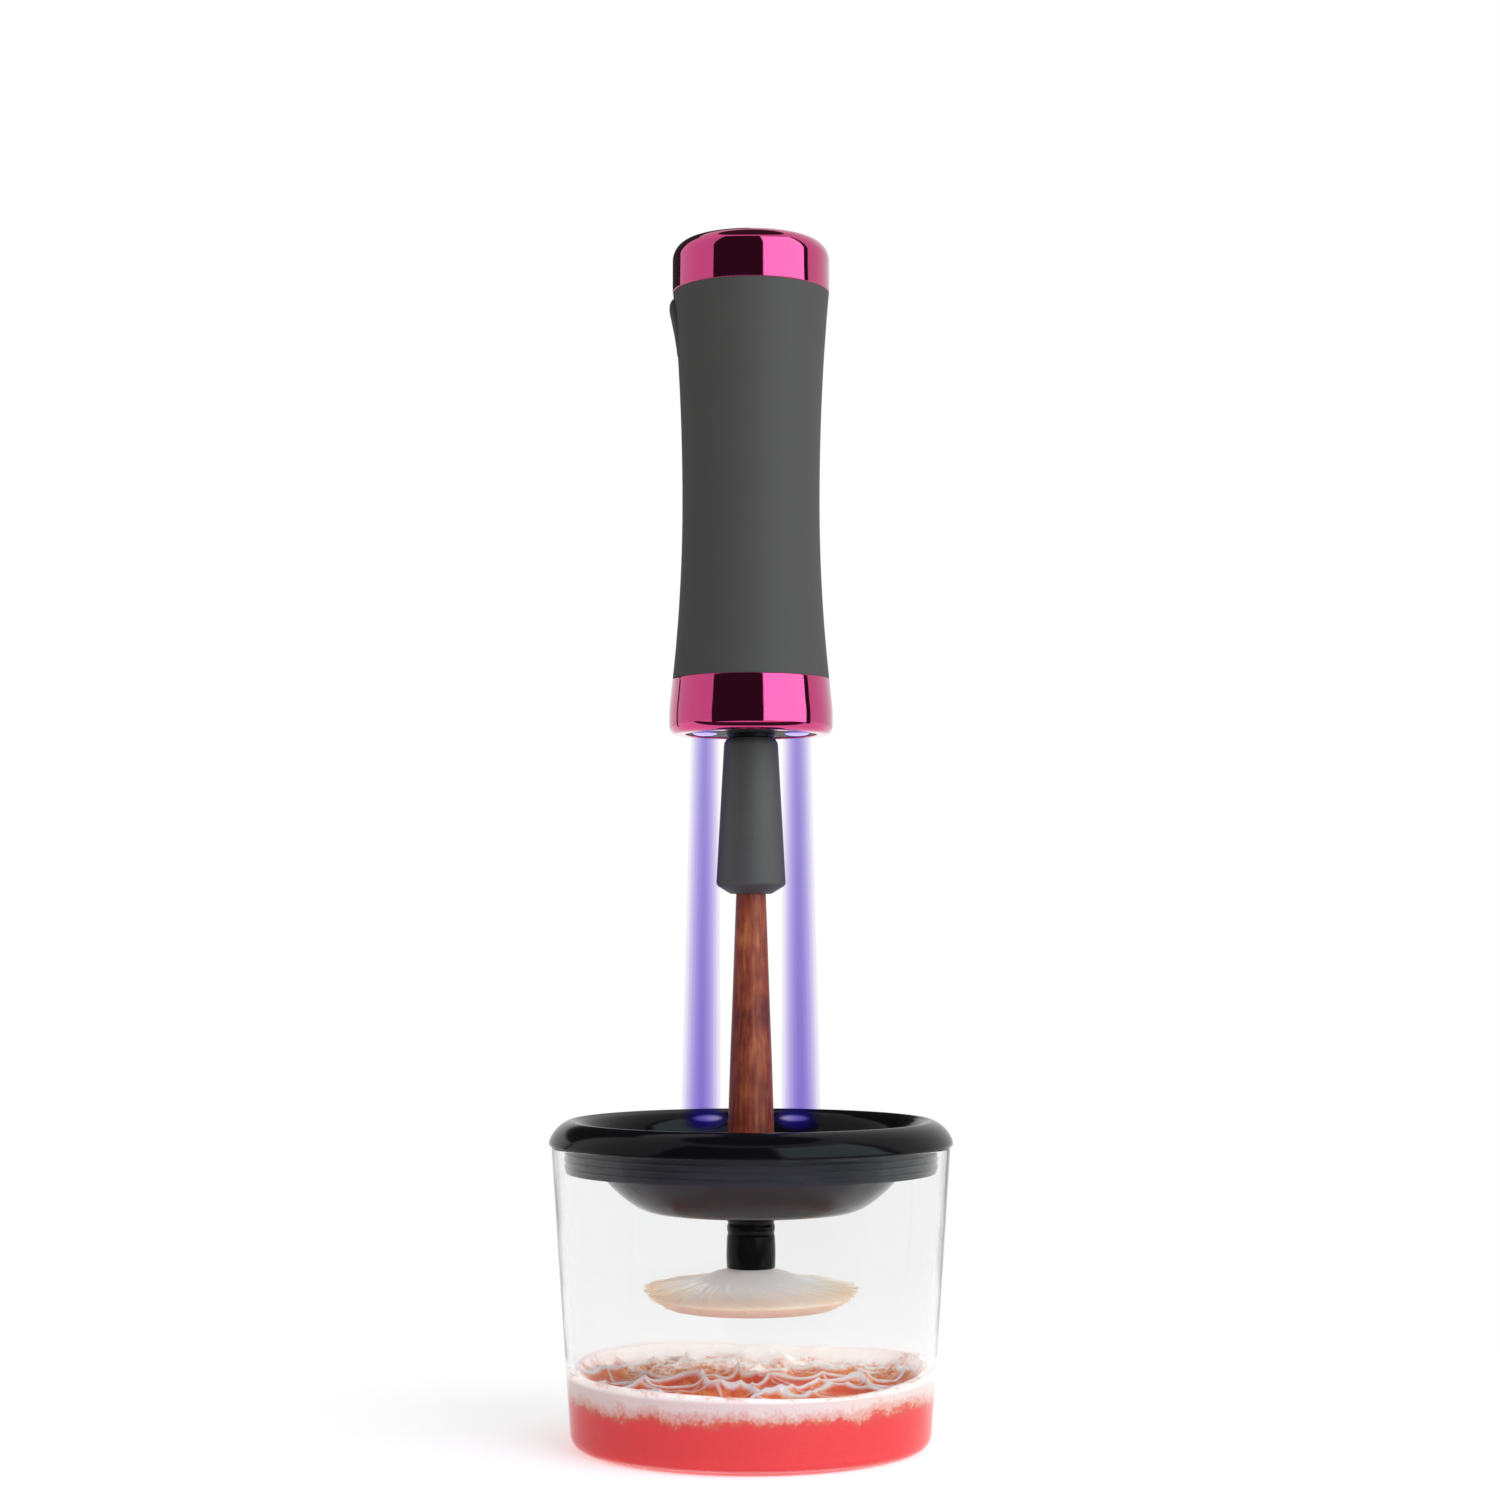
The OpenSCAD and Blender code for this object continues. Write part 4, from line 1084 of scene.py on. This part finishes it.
deep, shallow = (graded(tree, laced.outputs[0], tones) for tones in (DEEP_TONES, TOP_TONES))
skin = add_node(tree, "Mix", {0: top.outputs["Fac"], 6: deep, 7: shallow}, data_type="RGBA")
ridge = add_node(tree, "MapRange", {"Value": crest.outputs["Fac"], "From Min": 0.22, "From Max": 0.62})
tone = add_node(tree, "Mix", {0: ridge, 6: skin.outputs[2], 7: linear("#fbf3f0")}, data_type="RGBA")
# Froth passes light on from bubble to bubble; a painted glow on the thick parts of the top stands in for
# that light
painted_froth_glow = add_node(
    tree,
    "MapRange",
    {"Value": laced, "From Min": 0.3, "From Max": 0.8, "To Min": 0.0, "To Max": FROTH_GLOW},
)
glow = add_node(tree, "Math", {0: painted_froth_glow, 1: top.outputs["Fac"]}, operation="MULTIPLY")
froth_bump = add_node(
    tree, "Bump", {"Height": bubbles.outputs["Distance"], "Distance": 0.2 * MM, "Strength": 0.6}
)
soap = add_node(
    tree,
    "BsdfPrincipled",
    {"Base Color": tone.outputs[2], "Roughness": 0.3, "Specular IOR Level": 0.2}
    | {"Normal": froth_bump, "Subsurface Weight": 0.25, "Subsurface Scale": 0.002}
    | {"Subsurface Radius": (1.0, 0.3, 0.3), "Emission Color": linear("#fff6f2")}
    | {"Emission Strength": glow},
)
tree.links.new(soap.outputs[0], output.inputs[0])
liquid.data.materials.append(soapy)

# %% [markdown]
# Two violet lights in the nose shine down onto the dish. Their beams show in the damp air,
# so each is a nest of slim cones of thin mist, a volume that swallows the other colours and
# glows a little. Where more cones overlap the beam is denser, which gives it a soft edge.
# The cones ride with the handle and end just over the dish, so that no end comes out under
# the guard when the handle dips. A small spot light in each lens lights what it hits. Where
# a beam lands, a pale pool of light and a wider violet halo lie on the dish.

# %% Beams
LENS_X, BEAM_TOP, BEAM_END = 11.5, nose_z - 0.4, 76.5
# The layers end a little apart, as no two end faces may lie in one place
STAGGER = 0.4
# Where the lamps point: the dish's far slope, clear of the brush
SPOT_Y, SPOT_Z = 39.3, 77.7


def mist(name, density, glow):
    """A volume that lets mostly violet through, and glows."""
    finish, tree, output = blank_finish(name)
    swallow = add_node(tree, "VolumeAbsorption", {"Color": (0.16, 0.0, 0.69, 1), "Density": density})
    shine = add_node(tree, "Emission", {"Color": linear("#6a5cf0"), "Strength": glow})
    both = add_node(tree, "AddShader", {0: swallow, 1: shine})
    tree.links.new(both.outputs[0], output.inputs["Volume"])
    return finish


haze = mist("violet_mist", 58, 1.5)


def light_pool(name, code, glow):
    """A patch of light: it shines in its middle and fades out to nothing at its edge."""
    finish, tree, output = blank_finish(name)
    edge = add_node(tree, "Attribute", attribute_name="edge")
    soft = add_node(tree, "MapRange", {"Value": edge.outputs["Fac"]}, interpolation_type="SMOOTHSTEP")
    lit = add_node(tree, "Emission", {"Color": linear(code), "Strength": glow})
    nothing = add_node(tree, "BsdfTransparent", {"Color": (1, 1, 1, 1)})
    blend = add_node(tree, "MixShader", {0: soft, 1: lit, 2: nothing})
    tree.links.new(blend.outputs[0], output.inputs[0])
    return finish


# Each pool's name, half its width and depth, its height over the dish and its finish
POOLS = (
    ("halo", 6.0, 3.6, 0.1, light_pool("violet_halo_light", "#3c3490", 0.5)),
    ("pool", 4.4, 1.2, 0.25, light_pool("pale_pool_light", "#cfc9e6", 0.8)),
)
LAYERS, BEAM_TOP_R, BEAM_END_R = 5, 3.6, 5.0
for side in (-1, 1):
    for layer_number in range(LAYERS):
        share = (layer_number + 1) / LAYERS
        top_radius, end_radius = BEAM_TOP_R * share, BEAM_END_R * share
        foot, head = BEAM_END + STAGGER * layer_number, BEAM_TOP - 0.1 * STAGGER * layer_number
        cone_points, cone_faces = turned(
            [(0, foot), (end_radius, foot), (top_radius, head), (0, head)], 48
        )
        lean = np.interp(cone_points[:, 2], (BEAM_END, BEAM_TOP), (1.0, 0.0))
        cone_points[:, 0] += side * (LENS_X + lean)
        beam = mesh_piece(f"beam_{'left' if side < 0 else 'right'}_{layer_number}", cone_points, cone_faces)
        beam.data.materials.append(haze)
        beam.visible_shadow = False
        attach(beam, "handle")
    lamp = light(
        "violet_lamp", "SPOT", (side * LENS_X * MM, 0, (nose_z - 1) * MM),
        color=(0.35, 0.25, 1.0), energy=1.0, spot_size=math.radians(10), spot_blend=1.0,
        shadow_soft_size=0.002,
    )  # fmt: skip
    lamp.rotation_euler.x = math.atan2(SPOT_Y, nose_z - SPOT_Z)
    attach(lamp, "handle")

    # A pool is a disc laid on the dish, (u, v) turned into an angle round the axis and an
    # angle along the dish's arc
    for pool_name, half_width, half_depth, lift, pool_finish in POOLS:
        disc, disc_faces = turned([(0, 0), (0.35, 0), (0.7, 0), (1, 0), (1, -0.01), (0, -0.01)], 32)
        bearing = math.atan2(SPOT_Y, side * LENS_X) - disc[:, 0] * half_width / SPOT_Y
        slope = math.asin((SPOT_Z - dish_centre[1]) / (dish_r - dish_wall))
        slope = slope + disc[:, 1] * half_depth / dish_r
        reach = dish_r - dish_wall - lift + disc[:, 2]
        out = dish_centre[0] + reach * np.cos(slope)
        pool_points = np.stack(
            [out * np.cos(bearing), out * np.sin(bearing), dish_centre[1] + reach * np.sin(slope)], -1
        )
        pool = mesh_piece(f"{pool_name}_{'left' if side < 0 else 'right'}", pool_points, disc_faces)
        pool.data.attributes.new("edge", "FLOAT", "POINT").data.foreach_set(
            "value", np.hypot(disc[:, 0], disc[:, 1]).astype(np.float32)
        )
        pool.data.materials.append(pool_finish)
        pool.visible_shadow = False
        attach(pool, "guard")

# What the dish throws back on the brush's stick
spill = light(
    "violet_spill", "POINT", (0, -0.085, 0.1), color=(0.45, 0.3, 1.0), energy=0.05, shadow_soft_size=0.03
)
spill.visible_glossy = False
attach(spill, "handle")
print("liquid, beams and lamps on stage")
